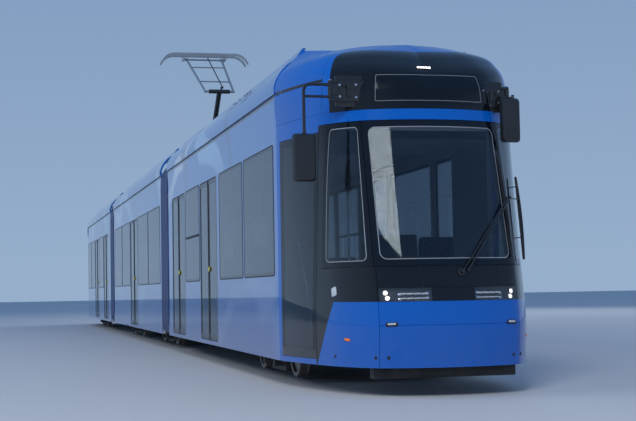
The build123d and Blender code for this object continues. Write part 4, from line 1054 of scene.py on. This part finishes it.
def glow(name, colour, strength):
    mat, _, shader = newMaterial(name, Roughness=0.25)
    shader.inputs["Base Color"].default_value = (*colour, 1)
    shader.inputs["Emission Color"].default_value = (*colour, 1)
    shader.inputs["Emission Strength"].default_value = strength
    return mat


def clearCover(name, tint):
    mat, _, shader = newMaterial(name, IOR=1.48, Transmission_Weight=1.0, Roughness=0.02)
    shader.inputs["Base Color"].default_value = (*tint, 1)
    return mat


def buildLampBand(turn, body):
    s, look = noseSizes, frontLook
    label = "cab" if turn > 0 else "tail"
    low, high = s["bumperTop"] + s["seam"], s["bandTop"]
    seams = halfEdge(-1, s["seamHalf"]), halfEdge(1, s["seamHalf"])
    grid, _ = noseGrid(low - 0.02, high + 0.02, *seams, 8, 61, turn)
    back = [shellShape(grid, 0.02, turn < 0, proud=-look["lampDepth"])]
    covers, beads, strips, rims = [], [], [], []
    r = look["projectorRadius"]
    bead = [(0.0, 0.0), (r * 0.72, 0.0), (r * 0.7, 0.012), (r * 0.4, 0.021), (0.0, 0.024)]
    rim = [(r, 0.0), (r, 0.020), (r * 0.9, 0.024), (r * 0.76, 0.016), (r * 0.74, 0.0)]
    for side in (-1, 1):
        ends = [halfEdge(side, look["lampHalves"][0]), halfEdge(side, look["lampHalves"][1])]
        grid, _ = noseGrid(low, high, *ends[::side], 6, 24, turn)
        covers.append(shellShape(grid, 0.004, turn < 0, proud=-0.001))
        for half, z in look["projectors"]:
            spot = noseSpot(z, side * arcOf(z, half), turn, -look["lampDepth"])
            beads.append(setAt(turnedShape((0, 0, 0), bead, "x", 18), spot))
            rims.append(setAt(turnedShape((0, 0, 0), rim, "x", 18), spot))
        for z, tall in look["strips"]:
            a, b = (side * arcOf(z, h) for h in look["stripEnds"])
            for k in range(4):  # light strip in four cells
                mid = a + (b - a) * (k + 0.5) / 4
                size = abs(b - a) / 4 - 0.004
                strips.append(setAt(blockShape((0, 0, 0), size, tall, 0.012, 0.005, 0.003, "+x"),
                                    noseSpot(z, mid, turn, 0.012 - look["lampDepth"])))
            rims.append(setAt(blockShape((0, 0, 0), abs(b - a) + 0.012, tall + 0.012, 0.012, 0.006, 0.003,
                                         "+x"), noseSpot(z, (a + b) / 2, turn, 0.002 - look["lampDepth"])))
    grid, _ = noseGrid(low, high, halfEdge(-1, look["lampHalves"][0], gap=-0.001),
                       halfEdge(1, look["lampHalves"][0], gap=-0.001), 6, 30, turn)
    back.append(shellShape(grid, 0.02, turn < 0, proud=-0.001))
    replaced = "headlamps" if turn > 0 else "tail_lamps"
    addPiece(label + "LampHousing", joined(back), body, bodyPaint, (replaced,))
    addPiece(label + "LampCovers", joined(covers), body, lampCover, ())
    addPiece(label + "LampRims", joined(rims), body, chrome, ())
    addPiece(label + "LampBeads", joined(beads), body, lampWhite if turn > 0 else lampRed)
    addPiece(label + "LampStrips", joined(strips), body, lampStrip if turn > 0 else lampRed)


def buildDisplay(turn, body):
    # the destination display: a thin dark pane laid on the hood between two heights, with a pale outline
    look = frontLook
    label = "cab" if turn > 0 else "tail"
    low, high, half = look["display"]
    grid, flat = hoodGrid(turn)
    z, arc = grid[..., 2], flat[..., 0]
    columns = np.flatnonzero(np.abs(grid[0, :, 1]) < half)
    rows = np.linspace(low, high, 10)
    picked = np.stack([[np.interp(rows, z[:, c], grid[:, c, k]) for c in columns] for k in range(3)], -1)
    picked = picked.transpose(1, 0, 2)
    across = np.repeat(arc[0, columns][None], len(rows), 0)
    flat, halfWidth, halfHeight = centredFlat(picked, across)
    mat = frittedGlass(label + "DisplayGlass", (0.20, 0.22, 0.24), halfWidth, halfHeight, 0.030, 0.012, 0.004)
    glass = shellShape(picked, 0.006, turn < 0, proud=0.002)
    addPiece(label + "Display", glass, body, mat, (), flat)
    inner = picked[2:-2, 3:-3]
    addPiece(label + "DisplayBoard", shellShape(inner, 0.004, turn < 0, proud=-0.006), body, boardGrey)


def hoodSpot(turn, z, y, proud=0.0):
    grid, _ = hoodGrid(turn)
    column = int(np.argmin(np.abs(grid[len(grid) // 2, :, 1] - y)))
    row = int(np.argmin(np.abs(grid[:, column, 2] - z)))
    out = gridNormals(grid)[row, column] * turn
    point = grid[row, column]
    across = np.cross((0, 0, 1.0), out)
    across /= np.linalg.norm(across)
    return point + out * proud, out, across, np.cross(out, across)


def buildSmallParts(turn, body):
    label = "cab" if turn > 0 else "tail"
    z, half = frontLook["marker"]
    spot = hoodSpot(turn, z, 0.0)
    cells = [setAt(blockShape((0.008, y, 0), 0.022, 0.024, 0.012, 0.004, 0.003, "+x"), spot)
             for y in np.linspace(-half + 0.012, half - 0.012, 5)]
    base = setAt(blockShape((0, 0, 0), 2 * half + 0.02, 0.040, 0.016, 0.012, 0.004, "+x"), spot)
    addPiece(label + "MarkerLamp", joined(cells), body, lampWhite if turn > 0 else lampRed)
    addPiece(label + "MarkerBase", base, body, rubber)
    look, pale, dark = frontLook, [], []
    low = noseSizes["crease"]
    for side in (-1, 1):
        spot = noseSpot(low + 0.010, side * arcOf(low, look["creaseHalf"]), turn)
        pale.append(setAt(blockShape((0.004, 0, 0.004), 0.078, 0.018, 0.010, 0.006, 0.003, "+x"), spot))
        dark.append(setAt(blockShape((0, 0, 0), 0.11, 0.038, 0.010, 0.008, 0.003, "+x"), spot))
    addPiece(label + "CreaseReflectors", joined(pale), body, reflectorWhite)
    # seams of the cover over the wiper gear, low bolts on the corners, and the guard beam on its brackets
    bolt = turnedShape((0, 0, 0), [(0, -0.004), (0.017, -0.004), (0.015, 0.003), (0.008, 0.001), (0, 0.001)],
                       "x", 16)
    z = look["boltHeight"]
    shelf = np.linspace(noseSizes["bandTop"] + 0.004, noseSizes["shelfTop"] - 0.004, 6)
    for side, half in look["coverSeams"]:
        points = [noseSpot(height, side * arcOf(height, half), turn, 0.0005)[0] for height in shelf]
        dark.append(tubeShape(points, 0.0028, 6))
        dark += [setAt(bolt, noseSpot(z, side * arcOf(z, at), turn)) for at in look["boltHalves"]]
    setback, level, wide, tall, deep = look["beam"]
    beamX = turn * (nose["tip"] - setback)
    dark.append(blockShape((beamX, 0, level), wide, tall, deep, 0.012, 0.006))
    dark += [blockShape((beamX, y, level + 0.047), 0.12, 0.06, 0.10, 0.008, 0.003) for y in look["brackets"]]
    addPiece(label + "DarkFittings", joined(dark), body, rubber, ())
    z, half = look["sideMarker"]
    lens = blockShape((0, 0, 0), 0.078, 0.026, 0.014, 0.01, 0.004)
    sideMarks = [setAt(lens, noseSpot(z, side * arcOf(z, half), turn)) for side in (-1, 1)]
    addPiece(label + "SideMarkers", joined(sideMarks), body, amberLens)
    if turn > 0:  # square pale flap on the right flank of the mask
        z, setback, size = look["flap"]
        flap = blockShape((0, 0, 0), size, size, 0.010, 0.016, 0.003)
        addPiece("cabFlap", setAt(flap, noseSpot(z, -arcOf(z, setback=setback), 1)), body, reflectorWhite)


def buildCabDoor():
    s = noseSizes
    a, b = backEdge(-1, s["doorRear"], gap=-0.003), backEdge(-1, s["doorFront"], gap=0.004)
    grid, arc = noseGrid(doorLow + 0.004, flankHead - 0.004, a, b, 60, 24, 1)
    flat, halfWidth, halfHeight = centredFlat(grid, arc)
    mat = frittedGlass("cabDoorGlass", pane["tint"], halfWidth, halfHeight, 0.075, 0.05)
    addPiece("cabDoorLeaf", shellShape(grid, 0.022), "front_car", mat, (), flat)
    rim, _ = noseGrid(doorLow + 0.004, doorLow + 0.09, a, b, 4, 24, 1)
    addPiece("cabDoorFoot", shellShape(rim, 0.02, proud=0.003), "front_car", maskSatin, ())
    # inner grip: a bar that slants up behind the glass
    points = [noseSpot(z, -arcOf(z, setback=sb), 1, -0.07)[0] for z, sb in
              ((0.62, 1.30), (0.75, 1.34), (1.05, 1.45), (1.35, 1.60), (1.50, 1.66))]
    addPiece("cabDoorGrip", tubeShape(points, 0.014, 10), "front_car", gripSteel, ())


lampWhite = glow("lampWhite", (1.0, 0.97, 0.90), 2.2)
lampStrip = glow("lampStrip", (0.60, 0.66, 0.72), 0.18)
reflectorWhite = plainFinish("reflectorWhite", (0.62, 0.65, 0.68), 0.25, coat=0.5, dust=0.1)
lampRed = glow("lampRed", (0.55, 0.01, 0.01), 0.15)
amberLens = glow("amberLens", (0.85, 0.20, 0.01), 0.10)
lampCover = clearCover("lampCover", (0.93, 0.95, 0.97))
chrome = plainFinish("chrome", (0.62, 0.63, 0.65), 0.15, 1.0, dust=0.0)
gripSteel = plainFinish("gripSteel", (0.50, 0.51, 0.52), 0.28, 1.0, dust=0.0)
boardGrey = plainFinish("boardGrey", (0.06, 0.065, 0.07), 0.6, dust=0.0)
for turn, body in ((1, "front_car"), (-1, "rear_car")):
    buildLampBand(turn, body)
    buildDisplay(turn, body)
    buildSmallParts(turn, body)
buildCabDoor()
print("stage: lamps and small parts of the nose")


# Mirrors: x, y, z of the folding pin, the heights of the arms, and the housing's middle and size
mirrors = {
    "right": {"pin": (15.95, -0.95, 2.872), "arms": (2.930, 2.814), "head": (15.97, -1.215, 2.2325),
              "size": (0.060, 0.225, 0.455), "bend": 0.075},
    "left": {"pin": (15.98, 0.82, 2.832), "arms": (2.792,), "head": (16.10, 0.807, 2.593),
             "size": (0.060, 0.200, 0.430), "bend": 0.0},
    "tube": 0.0155,
    "bore": 0.0125,
    "sleeve": 0.024,
    "sleeveHalf": 0.074,
    "plate": (0.27, 0.30, 0.022),
    "lug": (0.055, 0.10, 0.022),
}


def arcPath(corners, radius, steps=6):
    # a path with eased inner corners: each bend blends three points, with squared shares
    path = [np.array(corners[0], float)]
    t = np.linspace(0, 1, steps)[:, None]
    for a, b, c in zip(corners[:-2], corners[1:-1], corners[2:]):
        a, b, c = (np.array(p, float) for p in (a, b, c))
        p = b + (a - b) / np.linalg.norm(a - b) * radius
        q = b + (c - b) / np.linalg.norm(c - b) * radius
        path += list((1 - t) ** 2 * p + 2 * t * (1 - t) * b + t ** 2 * q)
    return np.array(path + [np.array(corners[-1], float)])


def boltShape(at, radius, height, axis, sides=6):  # a screw head on its washer
    profile = [(0.0, 0.0), (1.5, 0.0), (1.5, 0.25), (1.0, 0.3), (1.0, 0.9), (0.8, 1.0), (0.0, 1.0)]
    return turnedShape(at, [(r * radius, h * height) for r, h in profile], axis, sides)


def buildMirror(side):
    look = mirrors[side]
    pin, head, size = (np.array(look[k], float) for k in ("pin", "head", "size"))
    way = np.sign(pin[1])
    tube, bore, outer, tall = mirrors["tube"], mirrors["bore"], mirrors["sleeve"], mirrors["sleeveHalf"]
    dark = [turnedShape(pin, [(bore, -tall), (outer, -tall), (outer, tall), (bore, tall)], "z", 20)]
    top = head[2] + size[2] / 2
    if side == "right":
        high, low = look["arms"]
        start = (pin[0], pin[1] + way * 0.010, high)
        dark.append(tubeShape(arcPath([start, (head[0], head[1], high), (head[0], head[1], top - 0.02)],
                                      look["bend"]), tube, 12))
        start = (pin[0], pin[1] + way * 0.010, low)
        dark.append(tubeShape([start, (head[0], head[1], low)], tube * 0.85, 12))
    else:
        z = look["arms"][0]
        dark.append(tubeShape([(pin[0] + 0.01, pin[1], z), (head[0] - 0.02, head[1], z - 0.01)], tube, 12))
        dark.append(blockShape((pin[0] + 0.055, head[1] - 0.055, z - 0.05), 0.05, 0.20, 0.045, 0.012, 0.006))
        for k in range(4):  # coil of the return spring
            dark.append(turnedShape((pin[0] + 0.10, head[1] + 0.035, z + 0.005 + 0.012 * k),
                                    [(0.010, 0), (0.018, 0.002), (0.018, 0.007), (0.010, 0.009)], "z", 14))
    # clamp where the arm meets the housing
    clamp = [(0, 0), (0.024, 0), (0.021, 0.022), (0, 0.022)]
    dark.append(turnedShape((head[0], head[1], top - 0.012), clamp, "z", 16))
    addPiece("mirrorArms" + side.title(), joined(dark), "mirror_" + side, tubeBlack, ())
    deep, wide, tall = size
    front = blockShape(head + (0.006, 0, 0), wide, tall, deep - 0.012, 0.035, 0.010, "+x", 4, 8, 0.016)
    rear = ringShape(head + (0.008 - deep / 2, 0, 0), (wide, tall), (wide - 0.026, tall - 0.026), 0.016, "-x",
                     0.034, 0.024, 0.005)
    addPiece("mirrorHousing" + side.title(), joined([front, rear]), "mirror_" + side, mirrorShell,
             ("mirror_" + side,))
    split, rim = head[2] - 0.10, 0.016
    glassParts = []
    for low, high in ((head[2] - tall / 2 + rim, split - 0.003), (split + 0.003, head[2] + tall / 2 - rim)):
        glassParts.append(blockShape((head[0] - deep / 2 + 0.006, head[1], (low + high) / 2), wide - 2 * rim,
                                     high - low, 0.008, 0.018, 0.001, "-x"))
    addPiece("mirrorGlass" + side.title(), joined(glassParts), "mirror_" + side, mirrorSilver, ())


def buildBrackets():
    # base plate against the hood, two lugs round the sleeve, the pin, and small fittings on the plate
    dark, bright = [], []
    for side in ("right", "left"):
        pin = np.array(mirrors[side]["pin"], float)
        way = np.sign(pin[1])
        wide, tall, deep = mirrors["plate"]
        dark.append(blockShape(pin - (0, way * 0.21, 0), 0.36, 0.20, 0.030, 0.02, 0.006))
        dark.append(blockShape(pin - (0.02, way * (0.05 + wide / 2), 0), wide, tall, deep, 0.018, 0.005))
        for level in (-0.087, 0.087):
            dark.append(blockShape(pin + (0, -way * 0.03, level), *mirrors["lug"], 0.020, 0.004, "+z"))
            cap = [(0, 0), (0.016, 0), (0.014, 0.010), (0, 0.012)]
            bright.append(turnedShape(pin + (0, 0, level + 0.012), cap, "z", 6))
        for dy, dz in ((0.09, 0.055), (0.09, -0.055), (0.25, 0.06), (0.25, -0.06)):
            bright.append(boltShape(pin + (0.015, -way * dy, dz), 0.009, 0.012, "x"))
        post = [(0, -0.05), (0.016, -0.05), (0.016, 0.05), (0, 0.05)]
        dark.append(turnedShape(pin + (0.028, -way * 0.17, 0.0), post, "z", 14))
        # cable looping from the plate into the sleeve
        cable = [(0.02, 0.17, 0.03), (0.06, 0.10, 0.06), (0.07, 0.05, -0.05), (0.02, 0.01, -0.03)]
        cable = [pin + (dx, -way * dy, dz) for dx, dy, dz in cable]
        dark.append(tubeShape(arcPath(cable, 0.03), 0.005, 8))
    addPiece("mirrorBrackets", joined(dark), "front_car", tubeBlack, ())
    addPiece("mirrorBolts", joined(bright), "front_car", chrome, ())


tubeBlack = plainFinish("tubeBlack", (0.014, 0.015, 0.016), 0.30, coat=0.5, grain=0.1, dust=0.0)
mirrorShell = plainFinish("mirrorShell", (0.016, 0.018, 0.021), 0.42, coat=0.25, grain=0.35, grainScale=500.0,
                          dust=0.0)
mirrorSilver = plainFinish("mirrorSilver", (0.82, 0.84, 0.86), 0.03, 1.0, vary=0.02, grain=0.0, dust=0.0)
for side in ("right", "left"):
    buildMirror(side)
buildBrackets()


# Wiper: spots named by height and half width on the nose, and how far each part stands off the glass
wiper = {
    "foot": (1.127, 0.090),
    "knee": (1.812, 0.655),
    "blade": [(1.262, 0.640), (1.60, 0.645), (1.95, 0.642), (2.237, 0.632)],
    "second": [(1.235, 0.80), (1.60, 0.83), (2.045, 0.85)],
    "stand": 0.045,
    "bladeStand": 0.022,
}


def onNose(spot, proud):
    z, half = spot
    return noseSpot(z, arcOf(z, half), 1, proud)


def bladeShape(spots, proud, width=0.012, count=25):
    # rubber strip standing on the glass, and a flat holder on it that is deepest at its middle
    z = np.linspace(spots[0][0], spots[-1][0], count)
    half = np.interp(z, [s[0] for s in spots], [s[1] for s in spots])
    deep = 0.010 + 0.016 * (1 - np.linspace(-1, 1, count) ** 2)
    strip, base = 0.003, 0.012
    rings = []
    for spot, d in zip(zip(z, half), deep):
        point, out, across, _ = onNose(spot, 0.0)
        section = [(-strip, 0), (strip, 0), (width / 2, base), (0.004, base + d), (-0.004, base + d),
                   (-width / 2, base)]
        rings.append([point + out * (proud - base + h) + across * w for w, h in section])
    face = gridFaces(count, 6, wrap=True)
    caps = np.stack([np.arange(6)[::-1], np.arange(6) + (count - 1) * 6])
    return np.array(rings).reshape(-1, 3), [face, caps]


def buildWiper():
    stand, dark = wiper["stand"], []
    foot, knee = onNose(wiper["foot"], stand), onNose(wiper["knee"], stand)
    second = onNose((wiper["foot"][0] + 0.012, wiper["foot"][1] + 0.052), stand)
    root = onNose(wiper["foot"], 0.0)
    out, r = root[1], 0.022
    hub = [(0, 0.0), (r * 1.5, 0.0), (r * 1.5, 0.006), (r, 0.012), (r, 0.055), (r * 0.7, 0.062), (0, 0.064)]
    dark.append(setAt(turnedShape((0, 0, 0), hub, "x", 20), root))
    secondHub = [(0, -0.045), (0.016, -0.045), (0.016, 0.010), (0, 0.014)]
    dark.append(setAt(turnedShape((0, 0, 0), secondHub, "x", 16), second))
    shift = (second[0] - foot[0]) * 0.55
    secondKnee = (knee[0] + shift, *knee[1:])
    for start, end in ((foot[0], knee[0]), (second[0], secondKnee[0])):
        mid = start + (end - start) * 0.5 + out * 0.012
        path = arcPath([start, start + (end - start) * 0.12 + out * 0.008, mid, end], 0.05)
        dark.append(tubeShape(path, [0.010] + [0.0085] * (len(path) - 2) + [0.007], 8))
    joint = [(0, -0.022), (0.014, -0.022), (0.016, 0.008), (0, 0.012)]
    dark += [setAt(turnedShape((0, 0, 0), joint, "x", 14), spot) for spot in (knee, secondKnee)]
    dark.append(bladeShape(wiper["blade"], wiper["bladeStand"] - 0.010))
    dark.append(bladeShape(wiper["second"], 0.050))
    link = onNose((wiper["knee"][0] + 0.01, 0.84), 0.055)[0]
    dark.append(tubeShape([knee[0], link], 0.007, 8))
    for z, half in ((1.45, wiper["second"][0][1] + 0.015), (1.95, 0.845)):
        a, b = onNose((z, half), 0.0)[0], onNose((z, half), 0.05)[0]
        dark.append(tubeShape([a, b], 0.005, 6))
    addPiece("wiperSet", joined(dark), "front_car", tubeBlack, ("wiper",))


buildWiper()
print("stage: mirrors and wiper")


# Finishes for the CAD pieces that stay as they are
def dressNodes(material, *names):
    for name in names:
        nodes[name].data.materials.clear()
        nodes[name].data.materials.append(material)


cars = ("front", "middle", "rear")
floorVinyl = plainFinish("floorVinyl", (0.085, 0.092, 0.10), 0.45, vary=0.1, dust=0.0,
                         specks=(0.30, 0.31, 0.33))
bogiePaint = plainFinish("bogiePaint", (0.050, 0.054, 0.058), 0.55, dust=0.8, dustTop=0.8)
wheelSteel = plainFinish("wheelSteel", (0.30, 0.27, 0.25), 0.42, 0.85, dust=0.55, dustTop=0.75)
deskBlack = plainFinish("deskBlack", (0.030, 0.033, 0.037), 0.5, grain=0.5, grainScale=420.0, dust=0.0)
partitionGrey = plainFinish("partitionGrey", (0.22, 0.24, 0.26), 0.45, dust=0.0)
unitGrey = plainFinish("unitGrey", (0.44, 0.46, 0.48), 0.5, dust=0.1)
pantoBlack = plainFinish("pantoBlack", (0.022, 0.024, 0.027), 0.45, coat=0.2, dust=0.0)
pantoSilver = plainFinish("pantoSilver", (0.42, 0.43, 0.44), 0.35, 0.7, dust=0.0)
handrailSteel = plainFinish("handrailSteel", (0.55, 0.56, 0.57), 0.25, 1.0, dust=0.0)
dressNodes(floorVinyl, *(car + "_floor" for car in cars))
dressNodes(handrailSteel, *(car + "_handrails" for car in cars))
dressNodes(bogiePaint, *(f"bogie{k}_frame" for k in range(1, 5)))
dressNodes(wheelSteel, *(f"wheelset{k}" for k in range(1, 9)))
dressNodes(unitGrey, *(car + "_roof_units" for car in cars))
dressNodes(deskBlack, "cab_desk")
dressNodes(partitionGrey, "cab_partition")
dressNodes(pantoBlack, "pantograph_base", "pantograph_lower_arm", "pantograph_rod")
dressNodes(pantoSilver, "pantograph_upper_arm", "pantograph_head")


# Seats: each CAD solid gives the room for one pad on its pedestal or one back
seatLook = {
    "crown": 0.016,
    "pinch": 0.010,
    "squareness": 0.22,
    "lean": 0.07,
    "padDepth": 0.085,
    "tallest": 0.52,
    "fabric": (0.018, 0.060, 0.185),
    "weave": (0.045, 0.13, 0.34),
}


def seatFabric():
    # woven moquette: fine crossed ribs in two blues with short broken dashes, and a napped sheen
    mat, tree, shader = newMaterial("seatFabric", Roughness=0.9)
    shader.inputs["Sheen Weight"].default_value = 0.4
    ribs = noise(tree, 140.0, 2.0, 0.5, (1.0, 6.0, 1.0))
    dashes = rise(tree, noise(tree, 34.0, 2.0, 0.5, (3.0, 1.0, 1.0)), 0.58, 0.60)
    darker = tuple(c * 0.7 for c in seatLook["fabric"])
    shade = mixColour(tree, rise(tree, ribs, 0.4, 0.6), seatLook["fabric"], darker)
    tree.links.new(mixColour(tree, dashes, shade, seatLook["weave"]), shader.inputs["Base Color"])
    bump(tree, shader, ribs, 0.5, 0.0015)
    return mat


def cushionShape(low, high, face, rows=15, columns=15):
    # closed pad: a rounded square stretched to the box, its broad faces crowned as a product of two cosines,
    # its sides pulled in between the corners, and a seam groove round the middle of its edge
    mid, half = (low + high) / 2, (high - low) / 2
    wide, tall = [k for k in range(3) if k != face]
    angle = np.linspace(0, 2 * np.pi, 4 * columns, endpoint=False)
    ringU, ringV = (np.sign(v) * np.abs(v) ** seatLook["squareness"] for v in (np.cos(angle), np.sin(angle)))
    pull = 1 - seatLook["pinch"] / half[wide] * (1 - np.abs(np.sin(2 * angle)))
    broad = np.linspace(0.02, 0.94, rows)
    shares = np.concatenate([broad, [0.985, 1.0, 1.0, 0.992, 1.0, 1.0, 0.985], broad[::-1]])
    edge = [0.86, 0.62, 0.18, 0.0, -0.18, -0.62, -0.86]
    lift = np.concatenate([np.full(rows, 1.0), edge, np.full(rows, -1.0)])
    grid = np.zeros((len(shares), len(angle), 3))
    u, v = (shares[:, None] * r * pull for r in (ringU, ringV))
    grid[..., wide], grid[..., tall] = mid[wide] + u * half[wide], mid[tall] + v * half[tall]
    isBroad = (np.abs(lift) == 1.0)[:, None]
    hump = np.cos(u * np.pi / 2) * np.cos(v * np.pi / 2)
    crown = np.sqrt(np.maximum(hump, 0)) * isBroad * seatLook["crown"]
    body = half[face] - seatLook["crown"]
    grid[..., face] = mid[face] + lift[:, None] * body + np.sign(lift)[:, None] * crown
    count = len(angle)
    caps = np.stack([np.arange(count), (len(shares) - 1) * count + np.arange(count)[::-1]])
    return grid.reshape(-1, 3), [gridFaces(len(shares), count, wrap=True), caps]


def tiltedPad(low, high, toward):  # back pad that leans with its board: the box's thin way is x
    points, faces = cushionShape(low, high, 0)
    share = (points[:, 2] - low[2]) / (high[2] - low[2])
    points[:, 0] += toward * (0.5 - share) * seatLook["lean"]
    return points, faces


def buildSeats(car):
    pads, stands = [], []
    boxes = solidBoxes(car + "_seats")
    lowBoxes = [b for b in boxes if b[1][2] - b[0][2] <= seatLook["tallest"]]
    for low, high in boxes:
        size, centre = high - low, (low + high) / 2
        if size[2] > seatLook["tallest"]:  # a back: its box is as deep as the board and its lean together
            near = [(b[0][0] + b[1][0]) / 2 - centre[0] for b in lowBoxes if abs(b[0][1] - low[1]) < 0.05]
            inset = (seatLook["lean"] / 2, 0.005, 0.005)
            pads.append(tiltedPad(low + inset, high - inset, np.sign(min(near, key=abs))))
            continue
        foot = np.array([low[0], low[1], high[2] - seatLook["padDepth"]])
        pads.append(cushionShape(foot + (0.003, 0.003, 0), high - (0.003, 0.003, 0.002), 2))
        tall = foot[2] - low[2] + 0.01
        if tall > 0.06:
            stands.append(blockShape((centre[0], centre[1], low[2] + tall / 2), size[0] - 0.10,
                                     size[1] - 0.08, tall, 0.03, 0.006, "+z"))
    cushions = addPiece(car + "SeatPads", joined(pads), car + "_car", moquette, (car + "_seats",),
                        crease=50)
    if stands:
        addPiece(car + "SeatStands", joined(stands), car + "_car", bogiePaint, ())


moquette = seatFabric()
for car in cars:
    buildSeats(car)
print("stage: seats")


# Roof units have louvre slats along both sides and screw heads on top, and wheels have hub caps with bolts
def buildRoofUnits(car):
    slats, screws = [], []
    for low, high in solidBoxes(car + "_roof_units"):
        size = high - low
        if min(size[:2]) < 0.5 or size[2] < 0.15:
            continue
        for side, y in (("+y", high[1]), ("-y", low[1])):
            for z in np.arange(low[2] + 0.09, high[2] - 0.07, 0.035):
                slats.append(blockShape(((low[0] + high[0]) / 2, y, z), size[0] * 0.7, 0.016, 0.014, 0.004,
                                        0.003, side))
        for x in np.linspace(low[0] + 0.08, high[0] - 0.08, 6):
            for y in (low[1] + 0.05, high[1] - 0.05):
                screws.append(boltShape((x, y, high[2] - 0.002), 0.010, 0.008, "z"))
    if slats:
        addPiece(car + "UnitSlats", joined(slats), car + "_car", pantoBlack)
        addPiece(car + "UnitScrews", joined(screws), car + "_car", chrome)


def buildHubs(k):
    low, high = (np.array(v, float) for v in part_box(f"wheelset{k}"))
    centre, shapes = (low + high) / 2, []
    cap = np.array([(0.0, -0.02), (0.075, -0.02), (0.070, 0.002), (0.045, 0.004), (0.0, 0.004)])
    bolt = np.array([(0, -0.01), (0.008, -0.01), (0.008, 0.004), (0, 0.004)])
    for side in (-1, 1):
        y = centre[1] + side * ((high[1] - low[1]) / 2 - 0.004)
        outline, boltLine = ((line * (1, side))[::side] for line in (cap, bolt))
        shapes.append(turnedShape((centre[0], y, centre[2]), outline, "y", 28))
        for turn in np.arange(8) * np.pi / 4:
            at = (centre[0] + 0.058 * np.cos(turn), y, centre[2] + 0.058 * np.sin(turn))
            shapes.append(turnedShape(at, boltLine, "y", 6))
    addPiece(f"hubs{k}", joined(shapes), f"wheelset{k}", bogiePaint)


for car in cars:
    buildRoofUnits(car)
for k in range(1, 9):
    buildHubs(k)
print("stage: roof units and wheels")


# Studio: pale floor, big soft lamps, and the camera at the street-side viewpoint
studio = {
    "cameraAt": (28.4, -4.061, 0.990),
    "lens": 76.98,
    "heading": 13.425,
    "climb": 3.32,
    "roll": -1.0,
    "floorHalf": 160.0,
    "floorColour": (0.62, 0.63, 0.64),
    "horizonColour": (0.36, 0.50, 0.70),
    "skyColour": (0.14, 0.27, 0.52),
    "skyRise": (0.02, 0.50),
    "skyStrength": 0.85,
    # lamps: name, place, target, size, power and colour
    "lamps": [("frontSoft", (34, -10, 20), (12, 0, 1.5), (9, 9), 3600, (1.0, 0.97, 0.93)),
              ("sideSoft", (4, -26, 18), (2, 0, 1.5), (30, 8), 2600, (1, 1, 1)),
              ("farSoft", (-22, 20, 16), (-5, 0, 1.5), (26, 8), 1800, (1, 1, 1))],
}


def stageFloor():
    mat, tree, shader = newMaterial("stageFloor", Roughness=0.6)
    shade = mixColour(tree, noise(tree, 0.4, 4.0), studio["floorColour"],
                      tuple(c * 0.93 for c in studio["floorColour"]))
    tree.links.new(shade, shader.inputs["Base Color"])
    half = studio["floorHalf"]
    points = np.array([(-half, -half, 0), (half, -half, 0), (half, half, 0), (-half, half, 0)], float)
    floor = addPiece("stageFloor", (points, [np.array([[0, 1, 2, 3]])]), None, mat)


def sky():
    # pale at the horizon and deeper overhead, and the same for the camera, the lighting and the reflections
    world = bpy.data.worlds.new("studioSky")
    bpy.context.scene.world = world
    world.use_nodes = True
    tree = world.node_tree
    back = tree.nodes["Background"]
    point = tree.nodes.new("ShaderNodeTexCoord").outputs["Generated"]
    z = axes(tree, point)[2]
    shade = mixColour(tree, rise(tree, z, *studio["skyRise"]), studio["horizonColour"], studio["skyColour"])
    tree.links.new(shade, back.inputs["Color"])
    back.inputs["Strength"].default_value = studio["skyStrength"]


def areaLamp(name, at, target, size, power, colour):
    data = bpy.data.lights.new(name, "AREA")
    data.shape, data.size, data.size_y = "RECTANGLE", size[0], size[1]
    data.energy, data.color = power, colour
    lamp = bpy.data.objects.new(name, data)
    bpy.context.scene.collection.objects.link(lamp)
    lamp.visible_glossy = False
    lamp.location = at
    lamp.rotation_euler = (Vector(target) - Vector(at)).to_track_quat("-Z", "Y").to_euler()


def camera():
    data = bpy.data.cameras.new("streetCamera")
    data.sensor_width, data.lens = 36.0, studio["lens"]
    data.clip_start, data.clip_end = 0.1, 500.0
    eye = bpy.data.objects.new("streetCamera", data)
    bpy.context.scene.collection.objects.link(eye)
    heading, climb = math.radians(studio["heading"]), math.radians(studio["climb"])
    ahead = Vector((-math.cos(heading) * math.cos(climb), math.sin(heading) * math.cos(climb),
                    math.sin(climb)))
    eye.location = studio["cameraAt"]
    turn = ahead.to_track_quat("-Z", "Y") @ Quaternion((0, 0, 1), math.radians(studio["roll"]))
    eye.rotation_euler = turn.to_euler()
    bpy.context.scene.camera = eye


stageFloor()
sky()
for lamp in studio["lamps"]:
    areaLamp(*lamp)
camera()
bpy.context.scene.view_settings.view_transform = "Standard"
print("stage: studio")
